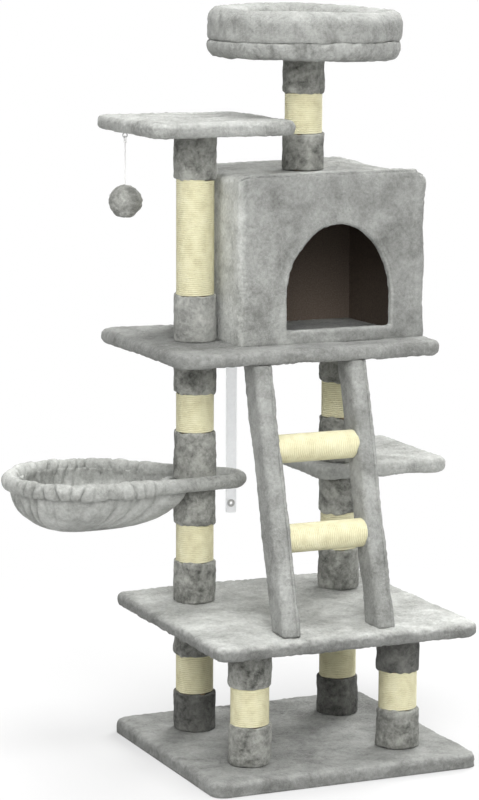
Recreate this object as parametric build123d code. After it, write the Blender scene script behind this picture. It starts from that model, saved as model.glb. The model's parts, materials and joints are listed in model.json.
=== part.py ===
from build123d import *
from math import acos, asin, atan2, ceil, cos, floor, inf, pi, sin, sqrt
import os

os.makedirs("parts", exist_ok=True)

# Cat tree, in millimetres. The origin is the middle of the base's underside,
# +X runs right along the front edge, +Y to the back and +Z up.

# Boards and the plush over them
base_width = 490.0
base_depth = 464.0
base_board_thickness = 20.0
lower_width = 482.0
lower_depth = 472.0
middle_width = 489.0
middle_depth = 384.0
step_width = 251.0
step_depth = 268.0
lookout_width = 261.0
lookout_depth = 283.0
board_thickness = 15.0
plush = 5.0
corner_radius = 24.0
edge_radius = 9.0

# Where the posts stand, and how far the boards reach past them
column_x = 139.0
column_y = 108.5
leg_front_y = -129.0
middle_left_overhang = 96.0
middle_front_overhang = 168.5
step_left_overhang = 59.0
step_front_overhang = 54.0

# Posts
post_length = 204.0
leg_foot_collar = 68.0
leg_head_collar = 70.0
foot_collar = 72.0
head_collar = 66.0
right_foot_collar = 81.0
right_head_collar = 61.0
lookout_post_length = 358.0
lookout_foot_collar = 80.0
lookout_head_collar = 80.0
perch_foot_collar = 63.0
perch_head_collar = 72.0
tube_radius = 28.0
tube_wall = 3.5
collar_radius = 36.5
collar_edge = 3.0
plug_length = 20.0

# Sisal rope
rope_diameter = 4.8
rope_gap = 0.6
most_turns = 24
band_gap = 0.5

# Studs, bolts and screws
stud_radius = 4.0
bolt_head_radius = 8.0
bolt_head_height = 4.5
screw_radius = 2.0
screw_head_radius = 4.0
screw_head_height = 3.0
screw_grip = 30.0
hole_clearance = 0.25
fit = 0.2

# How far a cutting tool runs past what it cuts, and the most of a wall that an edge's rounding may take
overcut = 1.0
rounding_share = 0.9

# Condo
condo_width = 354.0
condo_depth = 290.0
condo_height = 287.0
condo_setback = 63.0
condo_post_gap = 2.5
panel_thickness = 12.0
condo_corner = 16.0
roof_edge = 15.0
roof_board_edge = 9.0
door_half_width = 100.0
door_sill = 24.0
door_straight = 72.0
door_rise = 130.0
door_offset = 9.0
bracket_leg = 20.0
bracket_width = 24.0
bracket_thickness = 2.0

# Perch
perch_from_left = 173.0
perch_from_front = 125.0
perch_radius = 168.0
perch_rim = 14.0
perch_droop = 10.0
perch_flat_share = 0.55
perch_droop_share = 0.86
perch_seam_inset = 2.0
perch_seam_share = 0.45
bolster_width = 56.0
bolster_height = 60.0
bolster_foot_inset = 5.0
bolster_shoulder = 11.0
bolster_waist_share = 0.42
bolster_shoulder_share = 0.84
cushion_gap = 1.0
cushion_edge = 4.0
cushion_height = 14.0
cushion_crown = 7.0

# Hammock
hammock_angle = 160.0
bowl_radius = 128.0
bowl_distance = 193.0
neck_radius = 38.0
neck_distance = 40.0
hoop_radius = 3.5
neck_sleeve_radius = 12.5
rim_radius = 15.5
sling_depth = 84.0
sling_thickness = 4.0
sling_lip = 0.01
sling_lean_share = 0.12
sling_folds = 36
fold_height = 4.0
fold_fade = 0.8
fold_least = 0.3
sling_post_gap = 9.0
plate_width = 30.0
plate_thickness = 4.0
swivel_clearance = 0.08
plate_clearance = 0.2

# Ladder
ladder_foot_x = -9.0
ladder_head_x = 8.0
ladder_spacing = 177.0
stringer_width = 33.0
stringer_depth = 54.0
stringer_corner = 11.0
stringer_core_corner = 2.0
ladder_foot_front = 26.0
ladder_head_setback = 8.0
low_rung_share = 0.346
high_rung_share = 0.677
rung_radius = 19.4

# Toy
toy_inset = 20.0
toy_back = 46.0
eye_radius = 4.0
eye_wire = 1.0
loop_wire = 0.9
loop_play = 0.25
knot_radius = 2.6
knot_seat_share = 0.6
cord_radius = 1.1
cord_gap = 0.3
toy_drop = 118.0
ball_radius = 28.5
cord_grip = 8.0

# Safety strap
strap_offset = 7.5
strap_inset = 16.0
strap_width = 20.0
strap_thickness = 1.6
strap_length = 318.0
strap_end_radius = 2.0
strap_rib = 1.6
strap_rib_height = 0.7
strap_hole_up = 18.0
pin_radius = 2.0
pin_drop = 8.0
barrel_radius = 4.0
pin_clearance = 0.08
anchor_width = 46.0
anchor_depth = 14.0
anchor_thickness = 2.0
anchor_ear = 2.0
anchor_screw_inset = 6.0
anchor_screw_share = 0.7
ear_gap = 0.4
eyelet_bore = 3.0
eyelet_barrel = 4.6
eyelet_flange = 7.0
eyelet_lip = 0.8
eyelet_play = 0.1

# Heights
slab = board_thickness + 2 * plush
base_top = base_board_thickness + plush
lower_z = base_top + post_length
lower_top = lower_z + slab
step_z = lower_top + post_length
step_top = step_z + slab
middle_z = step_top + post_length
middle_top = middle_z + slab
lookout_z = middle_top + lookout_post_length
roof_top = middle_top + condo_height
roof_z = roof_top - plush - panel_thickness
perch_z = roof_top + post_length

thread = plug_length - 2 * fit
rope_radius = rope_diameter / 2
rope_pitch = rope_diameter + rope_gap
along_x = Rot(0, 90, 0)
along_y = Rot(90, 0, 0)

parts = {}


def add(name, *solids):
    parts.setdefault(name, []).extend(solids)


def rod(x, y, low, high, radius):
    return Pos(x, y, (low + high) / 2) * Cylinder(radius, high - low)


def rounded_slab(width, depth, thickness, corner, low_edge, high_edge):
    block = extrude(RectangleRounded(width, depth, corner), amount=thickness)
    block = fillet(block.edges().group_by(Axis.Z)[-1], min(high_edge, thickness * rounding_share))
    if low_edge > 0:
        block = fillet(block.edges().group_by(Axis.Z)[0], low_edge)
    return block


def core_block(width, depth, thickness, corner, top_edge):
    block = extrude(RectangleRounded(width, depth, corner), amount=thickness)
    if top_edge > 0:
        block = fillet(block.edges().group_by(Axis.Z)[-1], min(top_edge, thickness * rounding_share))
    return block


class Board:
    """A board in its plush cover, with the holes drilled in both."""

    def __init__(self, name, x, y, z, width, depth, core_thickness, under, corner, edge, core_edge=0.0):
        self.name = name
        self.x = x
        self.y = y
        self.z = z
        self.under = under
        self.core_z = z + under
        self.core_top = self.core_z + core_thickness
        self.top = self.core_top + plush
        low_edge = edge if under > 0 else 0
        outer = rounded_slab(width, depth, self.top - z, corner, low_edge, edge)
        margin = 2 * plush
        pocket = core_block(width - margin, depth - margin, core_thickness, corner - plush, core_edge)
        margin = margin + 2 * fit
        core = core_block(width - margin, depth - margin, core_thickness, corner - plush, core_edge)
        self.cover = Pos(x, y, z) * (outer - Pos(0, 0, under) * pocket)
        self.core = Pos(x, y, self.core_z) * core

    def drill_through(self, x, y, radius):
        tool = rod(x, y, self.z - overcut, self.top + overcut, radius)
        self.core = self.core - tool
        self.cover = self.cover - tool

    def bolt_up(self, x, y, radius, head_radius, head_height, reach):
        """A headed bolt from the core's underside, up through the top."""
        hole = radius + hole_clearance
        recess = head_radius + hole_clearance
        sink = self.core_z + head_height + hole_clearance
        self.core = self.core - rod(x, y, self.core_z - overcut, self.core_top + overcut, hole)
        self.core = self.core - rod(x, y, self.core_z - overcut, sink, recess)
        self.cover = self.cover - rod(x, y, self.core_top - overcut, self.top + overcut, hole)
        head_z = self.core_z + hole_clearance
        shank = rod(x, y, head_z, self.top + reach, radius)
        return shank + rod(x, y, head_z, head_z + head_height, head_radius)

    def bolt_down(self, x, y, radius, head_radius, head_height, reach):
        """A headed bolt from the core's top face, down through the underside."""
        hole = radius + hole_clearance
        recess = head_radius + hole_clearance
        sink = self.core_top - head_height - hole_clearance
        self.core = self.core - rod(x, y, self.core_z - overcut, self.core_top + overcut, hole)
        self.core = self.core - rod(x, y, sink, self.core_top + overcut, recess)
        if self.under > 0:
            self.cover = self.cover - rod(x, y, self.z - overcut, self.core_z + overcut, hole)
        head_top = self.core_top - hole_clearance
        shank = rod(x, y, self.z - reach, head_top, radius)
        return shank + rod(x, y, head_top - head_height, head_top, head_radius)

    def stud(self, x, y):
        self.drill_through(x, y, stud_radius + hole_clearance)
        return rod(x, y, self.z - thread, self.top + thread, stud_radius)

    def post_bolt_up(self, x, y):
        return self.bolt_up(x, y, stud_radius, bolt_head_radius, bolt_head_height, thread)

    def post_bolt_down(self, x, y):
        return self.bolt_down(x, y, stud_radius, bolt_head_radius, bolt_head_height, thread)

    def screw_up(self, x, y):
        return self.bolt_up(x, y, screw_radius, screw_head_radius, screw_head_height, screw_grip)

    def screw_down(self, x, y):
        return self.bolt_down(x, y, screw_radius, screw_head_radius, screw_head_height, screw_grip)

    def finish(self):
        add(self.name + "_board", self.core)
        add(self.name + "_cover", self.cover)


def biarc(start, start_way, end, end_way):
    """Two arcs that leave start along start_way and reach end along end_way."""
    across = end - start
    both = start_way + end_way
    turn = 2 * (1 - start_way.dot(end_way))
    lean = across.dot(both)
    reach = (sqrt(lean * lean + turn * across.dot(across)) - lean) / turn
    joint = (start + end + (start_way - end_way) * reach) * 0.5
    joint_way = (end - end_way * reach - start - start_way * reach).normalized()
    return [TangentArc(start, joint, tangent=start_way), TangentArc(joint, end, tangent=joint_way)]


def least_gap(points, apart, diameter):
    """The least gap between stretches of one rope, from points along it."""
    least = inf
    for i in range(len(points)):
        for j in range(i + apart, min(i + 3 * apart, len(points))):
            least = min(least, (points[i] - points[j]).length)
    return least - diameter


def winding(core_radius, low, high):
    """Rope wound round the Z axis between two heights, in lengths of at most most_turns."""
    room = high - low - 2 * band_gap
    lengths = ceil((room - rope_diameter) / rope_pitch / most_turns)
    share = room / lengths
    radius = core_radius + fit + rope_radius
    rise = rope_pitch / (2 * pi * radius)
    half_turns = floor(2 * (share - rope_diameter - 2 * rise * rope_diameter) / rope_pitch)
    ropes = []
    for k in range(lengths):
        start_z = low + band_gap + share * k + (share - half_turns * rope_pitch / 2) / 2

        def at(angle):
            return Vector(radius * cos(angle), radius * sin(angle), start_z + rope_pitch * angle / (2 * pi))

        def way(angle):
            return Vector(-sin(angle), cos(angle), rise).normalized()

        last = half_turns * pi
        edges = [Line(at(0) - way(0) * rope_diameter, at(0))]
        for h in range(half_turns):
            edges += biarc(at(h * pi), way(h * pi), at((h + 1) * pi), way((h + 1) * pi))
        edges.append(Line(at(last), at(last) + way(last) * rope_diameter))
        path = Wire(edges)
        ring = Plane(origin=path.position_at(0), z_dir=path.tangent_at(0)) * Circle(rope_radius)
        ropes.append(sweep(ring, path=path))
        samples = 6
        points = [edge.position_at(s / samples) for edge in edges[1:-1] for s in range(samples)]
        gap = least_gap(points, 2 * samples, rope_diameter)
        print(f"winding of {half_turns / 2} turns: least gap to itself {gap:.2f} mm")
    return ropes


def collar(x, y, low, high):
    sleeve = rod(x, y, low, high, collar_radius)
    sleeve = fillet(sleeve.edges().filter_by(GeomType.CIRCLE), collar_edge)
    return sleeve - rod(x, y, low - overcut, high + overcut, tube_radius + fit)


def post(group, x, y, z, length, foot, head, foot_more=0.0, head_more=0.0):
    """A tube with a plug in each end, a rope band and two collars. The collars may run past the ends."""
    top = z + length
    bore = tube_radius - tube_wall
    add(group + "_tube", rod(x, y, z, top, tube_radius) - rod(x, y, z - overcut, top + overcut, bore))
    for low in (z, top - plug_length):
        high = low + plug_length
        plug = rod(x, y, low, high, bore - fit)
        add("post_plugs", plug - rod(x, y, low - overcut, high + overcut, stud_radius + hole_clearance))
    add(group + "_collars", collar(x, y, z - foot_more, z + foot))
    add(group + "_collars", collar(x, y, top - head, top + head_more))
    for rope in winding(tube_radius, z + foot, top - head):
        add(group + "_sisal", Pos(x, y, 0) * rope)


# Boards
rounding = (corner_radius, edge_radius)
base = Board("base", 0, 0, 0, base_width, base_depth, base_board_thickness, 0, *rounding)
lower = Board("lower_platform", 0, 0, lower_z, lower_width, lower_depth, board_thickness, plush, *rounding)
step = Board(
    "step",
    column_x - step_left_overhang + step_width / 2,
    column_y - step_front_overhang + step_depth / 2,
    step_z,
    step_width,
    step_depth,
    board_thickness,
    plush,
    *rounding,
)
middle_left = -column_x - middle_left_overhang
middle_front = column_y - middle_front_overhang
middle_x = middle_left + middle_width / 2
middle_y = middle_front + middle_depth / 2
middle = Board(
    "middle_platform",
    middle_x,
    middle_y,
    middle_z,
    middle_width,
    middle_depth,
    board_thickness,
    plush,
    *rounding,
)
lookout = Board(
    "lookout",
    -column_x,
    column_y,
    lookout_z,
    lookout_width,
    lookout_depth,
    board_thickness,
    plush,
    *rounding,
)

# Hammock spacers fill the gap in the left column, and its collars run over them
spacer_height = (slab - plate_thickness) / 2 - plate_clearance
collar_more = spacer_height - plate_clearance

# Posts, from the floor up
for side in (-1, 1):
    for y in (leg_front_y, column_y):
        post("leg", side * column_x, y, base_top, post_length, leg_foot_collar, leg_head_collar)
collars = (foot_collar, head_collar)
post("left_column", -column_x, column_y, lower_top, post_length, *collars, head_more=collar_more)
post("left_column", -column_x, column_y, step_top, post_length, *collars, foot_more=collar_more)
post("right_column", column_x, column_y, lower_top, post_length, *collars)
post("right_column", column_x, column_y, step_top, post_length, right_foot_collar, right_head_collar)
post(
    "lookout_post",
    -column_x,
    column_y,
    middle_top,
    lookout_post_length,
    lookout_foot_collar,
    lookout_head_collar,
)

# Condo walls and roof
condo_left = -column_x + collar_radius + condo_post_gap
condo_front = middle_front + condo_setback
condo_x = condo_left + condo_width / 2
condo_y = condo_front + condo_depth / 2
core_width = condo_width - 2 * plush
core_depth = condo_depth - 2 * plush
wall_height = roof_z - middle_top
door_x = condo_x + door_offset


def arch(half_width, sill, straight, rise):
    """The doorway's outline: straight sides over a sill, under half an ellipse."""
    sides = Pos(0, (sill + straight) / 2) * Rectangle(2 * half_width, straight - sill)
    crown = Pos(0, straight) * Ellipse(half_width, rise)
    crown = crown - Pos(0, straight - rise) * Rectangle(4 * half_width, 2 * rise)
    return sides + crown


def door_tool(grow, front, back):
    outline = arch(door_half_width + grow, door_sill - grow, door_straight, door_rise + grow)
    face = Plane(origin=(door_x, back, middle_top), x_dir=(1, 0, 0), z_dir=(0, -1, 0)) * outline
    return extrude(face, amount=back - front)


wall_z = middle_top + wall_height / 2
panel_front = condo_front + plush
panel_inside = panel_front + panel_thickness
panel_back = panel_front + core_depth
inner_width = core_width - 2 * panel_thickness
side_panel = Box(panel_thickness, core_depth, wall_height)
cross_panel = Box(inner_width, panel_thickness, wall_height)
left_panel = Pos(condo_left + plush + panel_thickness / 2, condo_y, wall_z) * side_panel
right_panel = Pos(condo_left + condo_width - plush - panel_thickness / 2, condo_y, wall_z) * side_panel
left_panel = fillet(left_panel.edges().filter_by(Axis.Z).group_by(Axis.X)[0], condo_corner - plush)
right_panel = fillet(right_panel.edges().filter_by(Axis.Z).group_by(Axis.X)[-1], condo_corner - plush)
back_panel = Pos(condo_x, panel_back - panel_thickness / 2, wall_z) * cross_panel
front_panel = Pos(condo_x, panel_front + panel_thickness / 2, wall_z) * cross_panel
front_panel = front_panel - door_tool(plush + fit, condo_front - overcut, panel_inside + overcut)
sleeve_outline = RectangleRounded(condo_width, condo_depth, condo_corner) - RectangleRounded(
    core_width + 2 * fit, core_depth + 2 * fit, condo_corner - plush
)
wall_cover = Pos(condo_x, condo_y, middle_top) * extrude(sleeve_outline, amount=wall_height)
wall_cover = wall_cover + door_tool(plush, panel_front - plush / 2, panel_inside)
wall_cover = wall_cover - door_tool(0, condo_front - overcut, panel_inside + overcut)

roof = Board(
    "condo_roof",
    condo_x,
    condo_y,
    roof_z,
    condo_width,
    condo_depth,
    panel_thickness,
    0,
    condo_corner,
    roof_edge,
    roof_board_edge,
)
perch_x = condo_left + perch_from_left
perch_y = condo_front + perch_from_front

for side in (-1, 1):
    for y in (condo_y - core_depth / 4, condo_y + core_depth / 4):
        wall_face = condo_x + side * inner_width / 2
        reach = side * bracket_leg / 2
        thin = side * bracket_thickness / 2
        flat = Pos(wall_face - reach, y, roof_z - bracket_thickness / 2) * Box(
            bracket_leg, bracket_width, bracket_thickness
        )
        upright = Pos(wall_face - thin, y, roof_z - bracket_leg / 2) * Box(
            bracket_thickness, bracket_width, bracket_leg
        )
        add("condo_brackets", flat + upright)

for y in (condo_y - core_depth / 3, condo_y + core_depth / 3):
    for side in (-1, 1):
        x = condo_x + side * (core_width - panel_thickness) / 2
        add("wood_screws", middle.screw_up(x, y))
        hole = rod(x, y, middle_top - overcut, middle_top + screw_grip + fit, screw_radius + hole_clearance)
        left_panel = left_panel - hole
        right_panel = right_panel - hole

add("condo_front_panel", front_panel)
add("condo_left_panel", left_panel)
add("condo_right_panel", right_panel)
add("condo_back_panel", back_panel)
add("condo_wall_cover", wall_cover)

# Perch, on a post with its longer collar at the top
post("perch_post", perch_x, perch_y, roof_top, post_length, perch_foot_collar, perch_head_collar)
disc_radius = perch_radius - perch_rim
perch_core_z = perch_z + plush
perch_core_top = perch_core_z + board_thickness
flat_radius = disc_radius * perch_flat_share
droop_radius = disc_radius * perch_droop_share
rim_top = perch_core_top - perch_z
rim_low = -perch_droop
droop_middle = ((flat_radius + droop_radius) / 2, rim_low / 2)
seam = (perch_radius - perch_seam_inset, rim_top * perch_seam_share)
with BuildSketch(Plane.XZ) as rim_profile:
    with BuildLine():
        Line((0, 0), (flat_radius, 0))
        TangentArc((flat_radius, 0), droop_middle, tangent=(1, 0))
        TangentArc((droop_radius, rim_low), droop_middle, tangent=(-1, 0))
        TangentArc((droop_radius, rim_low), seam, tangent=(1, 0))
        Line(seam, (perch_radius - plush, rim_top))
        Line((perch_radius - plush, rim_top), (0, rim_top))
        Line((0, rim_top), (0, 0))
    make_face()
perch_cover = Pos(perch_x, perch_y, perch_z) * revolve(rim_profile.sketch, axis=Axis.Z)
perch_cover = perch_cover - rod(perch_x, perch_y, perch_core_z, perch_core_top + overcut, disc_radius + fit)
perch_board = rod(perch_x, perch_y, perch_core_z, perch_core_top, disc_radius)
hole_radius = stud_radius + hole_clearance
recess_radius = bolt_head_radius + hole_clearance
head_low = perch_core_top - bolt_head_height - hole_clearance
head_top = perch_core_top - hole_clearance
perch_cover = perch_cover - rod(perch_x, perch_y, perch_z - overcut, perch_core_z + overcut, hole_radius)
perch_board = perch_board - rod(perch_x, perch_y, perch_z, perch_core_top + overcut, hole_radius)
perch_board = perch_board - rod(perch_x, perch_y, head_low, perch_core_top + overcut, recess_radius)
perch_bolt = rod(perch_x, perch_y, perch_z - thread, head_top, stud_radius)
perch_bolt = perch_bolt + rod(perch_x, perch_y, head_low + fit, head_top, bolt_head_radius)
add("perch_board", perch_board)
add("perch_cover", perch_cover)

outer = perch_radius
inner = perch_radius - bolster_width
inner_foot = inner + bolster_foot_inset
outer_foot = outer - bolster_foot_inset
crest = outer - bolster_width / 2
tall = bolster_height
waist = tall * bolster_waist_share
outer_shoulder = (outer - bolster_shoulder, tall * bolster_shoulder_share)
inner_shoulder = (inner + bolster_shoulder, tall * bolster_shoulder_share)
with BuildSketch(Plane.XZ) as bolster_profile:
    with BuildLine():
        Line((inner_foot, 0), (outer_foot, 0))
        ThreePointArc((outer_foot, 0), (outer, waist), outer_shoulder)
        ThreePointArc(outer_shoulder, (crest, tall), inner_shoulder)
        ThreePointArc(inner_shoulder, (inner, waist), (inner_foot, 0))
    make_face()
bolster_z = perch_core_top + fit
add("perch_bolster", Pos(perch_x, perch_y, bolster_z) * revolve(bolster_profile.sketch, axis=Axis.Z))

cushion_radius = inner - cushion_gap
crown_radius = cushion_radius - cushion_edge
crown_curve = (crown_radius**2 + cushion_crown**2) / (2 * cushion_crown)
crown_middle = cushion_height + cushion_crown - crown_curve
crown_turn = asin(crown_radius / crown_curve) / 2
crown_foot = (crown_radius, cushion_height)
with BuildSketch(Plane.XZ) as cushion_profile:
    with BuildLine():
        Line((0, 0), (crown_radius, 0))
        ThreePointArc((crown_radius, 0), (cushion_radius, cushion_height / 2), crown_foot)
        ThreePointArc(
            crown_foot,
            (crown_curve * sin(crown_turn), crown_middle + crown_curve * cos(crown_turn)),
            (0, cushion_height + cushion_crown),
        )
        Line((0, cushion_height + cushion_crown), (0, 0))
    make_face()
add("perch_cushion", Pos(perch_x, perch_y, bolster_z) * revolve(cushion_profile.sketch, axis=Axis.Z))

# Ladder: each stringer leans back, and a little sideways, from the lower platform to the middle one
rise = middle_z - lower_top
foot_front = lower.y - lower_depth / 2 + ladder_foot_front
head_front = middle_front + ladder_head_setback
run = head_front - foot_front
sway = ladder_head_x - ladder_foot_x
level_depth = stringer_depth / cos(atan2(run, rise))
stringer_way = Vector(sway, run, rise).normalized()
stringer_side = (Vector(1, 0, 0) - stringer_way * stringer_way.X).normalized()


def ladder_place(side, share):
    """The middle of a stringer, or with side 0 of a rung, at a share of the ladder's rise."""
    x = ladder_foot_x + sway * share + side * ladder_spacing / 2
    y = foot_front + level_depth / 2 + run * share
    return Vector(x, y, lower_top + rise * share)


def stringer_prism(width, depth, corner, side):
    """A leaning prism, cut level at both ends."""
    middle_point = ladder_place(side, 0.5)
    length = rise / stringer_way.Z + 2 * depth
    plane = Plane(origin=middle_point, x_dir=stringer_side, z_dir=stringer_way)
    bar = extrude(plane * RectangleRounded(width, depth, corner), amount=length / 2, both=True)
    return bar & Pos(middle_point) * Box(8 * width, 4 * rise, rise)


rung_outside = rung_radius + fit + rope_diameter
rung_room = fit + rung_outside * abs(sway) / rise
rung_span = ladder_spacing - stringer_width / stringer_side.X - 2 * rung_room
shares = (low_rung_share, high_rung_share)
screw_reach = screw_radius + hole_clearance
core_size = (stringer_width - 2 * plush, stringer_depth - 2 * plush)
for name, side in (("ladder_left", -1), ("ladder_right", 1)):
    core = stringer_prism(*core_size, stringer_core_corner, side)
    pocket = stringer_prism(core_size[0] + 2 * fit, core_size[1] + 2 * fit, stringer_core_corner, side)
    sleeve = stringer_prism(stringer_width, stringer_depth, stringer_corner, side) - pocket
    foot = ladder_place(side, 0)
    head = ladder_place(side, 1)
    add("wood_screws", lower.screw_up(foot.X, foot.Y))
    add("wood_screws", middle.screw_down(head.X, head.Y))
    core = core - rod(foot.X, foot.Y, lower_top - overcut, lower_top + screw_grip + fit, screw_reach)
    core = core - rod(head.X, head.Y, middle_z - screw_grip - fit, middle_z + overcut, screw_reach)
    for share in shares:
        place = ladder_place(side, share)
        outside = place.X + side * (stringer_width / 2 - plush)
        inside = place.X - side * stringer_width / 2
        head_face = outside - side * hole_clearance
        tip = inside - side * screw_grip
        level = Pos(0, place.Y, place.Z)
        shank = Pos((head_face + tip) / 2, 0, 0) * along_x * Cylinder(screw_radius, abs(head_face - tip))
        screw_head = along_x * Cylinder(screw_head_radius, screw_head_height)
        screw_head = Pos(head_face - side * screw_head_height / 2, 0, 0) * screw_head
        sink = screw_head_height + 2 * hole_clearance
        hole = Pos(place.X - side * plush, 0, 0) * along_x * Cylinder(screw_reach, stringer_width)
        recess = along_x * Cylinder(screw_head_radius + hole_clearance, sink + 2 * fit)
        recess = Pos(outside - side * sink / 2, 0, 0) * recess
        core = core - level * hole - level * recess
        sleeve = sleeve - level * Pos(inside, 0, 0) * along_x * Cylinder(screw_reach, 3 * plush)
        add("wood_screws", level * (shank + screw_head))
    add(name + "_stringer", core)
    add(name + "_sleeve", sleeve)

for share in shares:
    along = Pos(ladder_place(0, share)) * along_x
    dowel = Cylinder(rung_radius, rung_span)
    bore = Cylinder(screw_reach, 2 * (screw_grip + fit))
    for side in (-1, 1):
        dowel = dowel - Pos(0, 0, side * rung_span / 2) * bore
    add("ladder_rungs", along * dowel)
    for rope in winding(rung_radius, -rung_span / 2, rung_span / 2):
        add("ladder_rung_sisal", along * rope)

# Hammock, built with its swivel on the Z axis and its bowl towards +X, then swung round
hub_z = step_z + slab / 2
centres = bowl_distance + neck_distance
tangent_x = -(bowl_radius - neck_radius) / centres
tangent_y = sqrt(1 - tangent_x * tangent_x)
bowl_touch = Vector(bowl_distance + bowl_radius * tangent_x, bowl_radius * tangent_y, 0)
neck_touch = Vector(-neck_distance + neck_radius * tangent_x, neck_radius * tangent_y, 0)
sling_end = collar_radius + sling_post_gap
split_share = (sling_end + rim_radius - neck_touch.X) / (bowl_touch.X - neck_touch.X)
split = neck_touch + (bowl_touch - neck_touch) * split_share


def mirrored(point):
    return Vector(point.X, -point.Y, point.Z)


bowl_path = Wire(
    [
        Line(mirrored(split), mirrored(bowl_touch)),
        ThreePointArc(mirrored(bowl_touch), (bowl_distance + bowl_radius, 0, 0), bowl_touch),
        Line(bowl_touch, split),
    ]
)
neck_path = Wire(
    [
        Line(split, neck_touch),
        ThreePointArc(neck_touch, (-neck_distance - neck_radius, 0, 0), mirrored(neck_touch)),
        Line(mirrored(neck_touch), mirrored(split)),
    ]
)


def tube_along(path, radius):
    ring = Plane(origin=path.position_at(0), z_dir=path.tangent_at(0)) * Circle(radius)
    return sweep(ring, path=path)


hoop = tube_along(bowl_path, hoop_radius) + tube_along(neck_path, hoop_radius)
plate_half = neck_touch.Y - neck_touch.X * (bowl_touch.Y - neck_touch.Y) / (bowl_touch.X - neck_touch.X)
plate = Box(plate_width, 2 * plate_half, plate_thickness)
plate = plate - Cylinder(stud_radius + swivel_clearance, 2 * plate_thickness)
hoop = hoop + plate
plate_room = Box(plate_width + 2 * fit, 4 * plate_half, plate_thickness + 2 * fit)
neck_sleeve = tube_along(neck_path, neck_sleeve_radius) - tube_along(neck_path, hoop_radius + fit)
neck_sleeve = neck_sleeve - plate_room


def rim_reach(angle):
    """How far the hoop's opening reaches from the bowl's middle, with a notch round the post."""
    turn = abs(angle)
    tangent_angle = acos(tangent_x)
    reach = bowl_radius
    if turn > tangent_angle:
        reach = bowl_radius / cos(turn - tangent_angle)
    beside_post = bowl_distance * sin(turn)
    if turn > pi / 2 and beside_post < sling_end:
        reach = -bowl_distance * cos(turn) - sqrt(sling_end**2 - beside_post**2)
    return reach


def sling_ring(share, size, shrink, lift):
    """One level of the sling: arcs that bulge out between the folds."""
    z = -rim_radius / 3 - sling_depth * share + lift
    x = bowl_distance + sling_lean_share * bowl_radius * share
    bulge = fold_height * (1 - fold_fade * share) + fold_least
    step_angle = 2 * pi / sling_folds

    def at(angle, more):
        angle = (angle + pi) % (2 * pi) - pi
        reach = rim_reach(angle) * size - shrink + more
        return Vector(x + reach * cos(angle), reach * sin(angle), z)

    arcs = []
    for k in range(sling_folds):
        low = at(k * step_angle, 0)
        high = at((k + 1) * step_angle, 0)
        crest = (low + high) * 0.5
        out = Vector(crest.X - x, crest.Y, 0).normalized()
        arcs.append(ThreePointArc(low, crest + out * bulge, high))
    return Wire(arcs)


# Shares of the sling's depth, each with the sling's size there against its opening
levels = ((0.0, 0.985), (0.4, 0.9), (0.7, 0.72), (0.91, 0.46), (1.0, 0.22))
outer_rings = []
inner_rings = []
for share, size in levels:
    lift = max(sling_thickness * share, sling_lip)
    outer_rings.append(sling_ring(share, size, 0, 0))
    inner_rings.append(sling_ring(share, size, sling_thickness, lift))
bowl = Solid.make_loft(outer_rings, ruled=True) - Solid.make_loft(inner_rings, ruled=True)
bowl = bowl - tube_along(bowl_path, rim_radius) - tube_along(neck_path, neck_sleeve_radius + fit)
rim = tube_along(bowl_path, rim_radius) - tube_along(bowl_path, hoop_radius + fit)

swing = Pos(-column_x, column_y, hub_z) * Rot(0, 0, hammock_angle)
add("hammock_hoop", swing * hoop)
add("hammock_neck_sleeve", swing * neck_sleeve)
add("hammock_rim", swing * rim)
add("hammock_sling", swing * bowl)
for low in (step_z, step_top - spacer_height):
    spacer = rod(-column_x, column_y, low, low + spacer_height, tube_radius)
    spacer = spacer - rod(-column_x, column_y, low - overcut, low + spacer_height + overcut, hole_radius)
    add("hammock_spacers", spacer)

# Toy: a screw eye in the lookout, a knotted loop, a cord and a ball
toy_x = lookout.x - lookout_width / 2 + toy_inset
toy_y = column_y + toy_back
eye_z = lookout_z - eye_radius - eye_wire - fit
shank_low = eye_z + eye_radius
shank_top = lookout.core_z + board_thickness / 2
eye = Pos(toy_x, toy_y, eye_z) * along_y * Torus(eye_radius, eye_wire)
eye = eye + rod(toy_x, toy_y, shank_low, shank_top, eye_wire)
eye_hole = eye_wire + hole_clearance
lookout.core = lookout.core - rod(toy_x, toy_y, lookout_z - overcut, shank_top + fit, eye_hole)
lookout.cover = lookout.cover - rod(toy_x, toy_y, lookout_z - overcut, lookout.core_z + fit, eye_hole)
add("toy_eye", eye)
loop_top = eye_z - eye_radius + eye_wire + loop_play + loop_wire
loop_z = loop_top - eye_radius
knot_z = loop_z - eye_radius - knot_radius * knot_seat_share
knot = Pos(toy_x, toy_y, loop_z) * along_x * Torus(eye_radius, loop_wire)
knot = knot + Pos(toy_x, toy_y, knot_z) * Sphere(knot_radius)
add("toy_knot", knot)
cord_top = knot_z - knot_radius - cord_gap - cord_radius
ball_z = lookout_z - toy_drop
cord_low = ball_z + ball_radius - cord_grip
cord = rod(toy_x, toy_y, cord_low, cord_top, cord_radius)
cord = cord + Pos(toy_x, toy_y, cord_top) * Sphere(cord_radius)
add("toy_cord", cord)
ball = Pos(toy_x, toy_y, ball_z) * Sphere(ball_radius)
ball = ball - rod(toy_x, toy_y, cord_low - fit, ball_z + ball_radius + overcut, cord_radius + fit)
add("toy_ball", ball)

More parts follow.
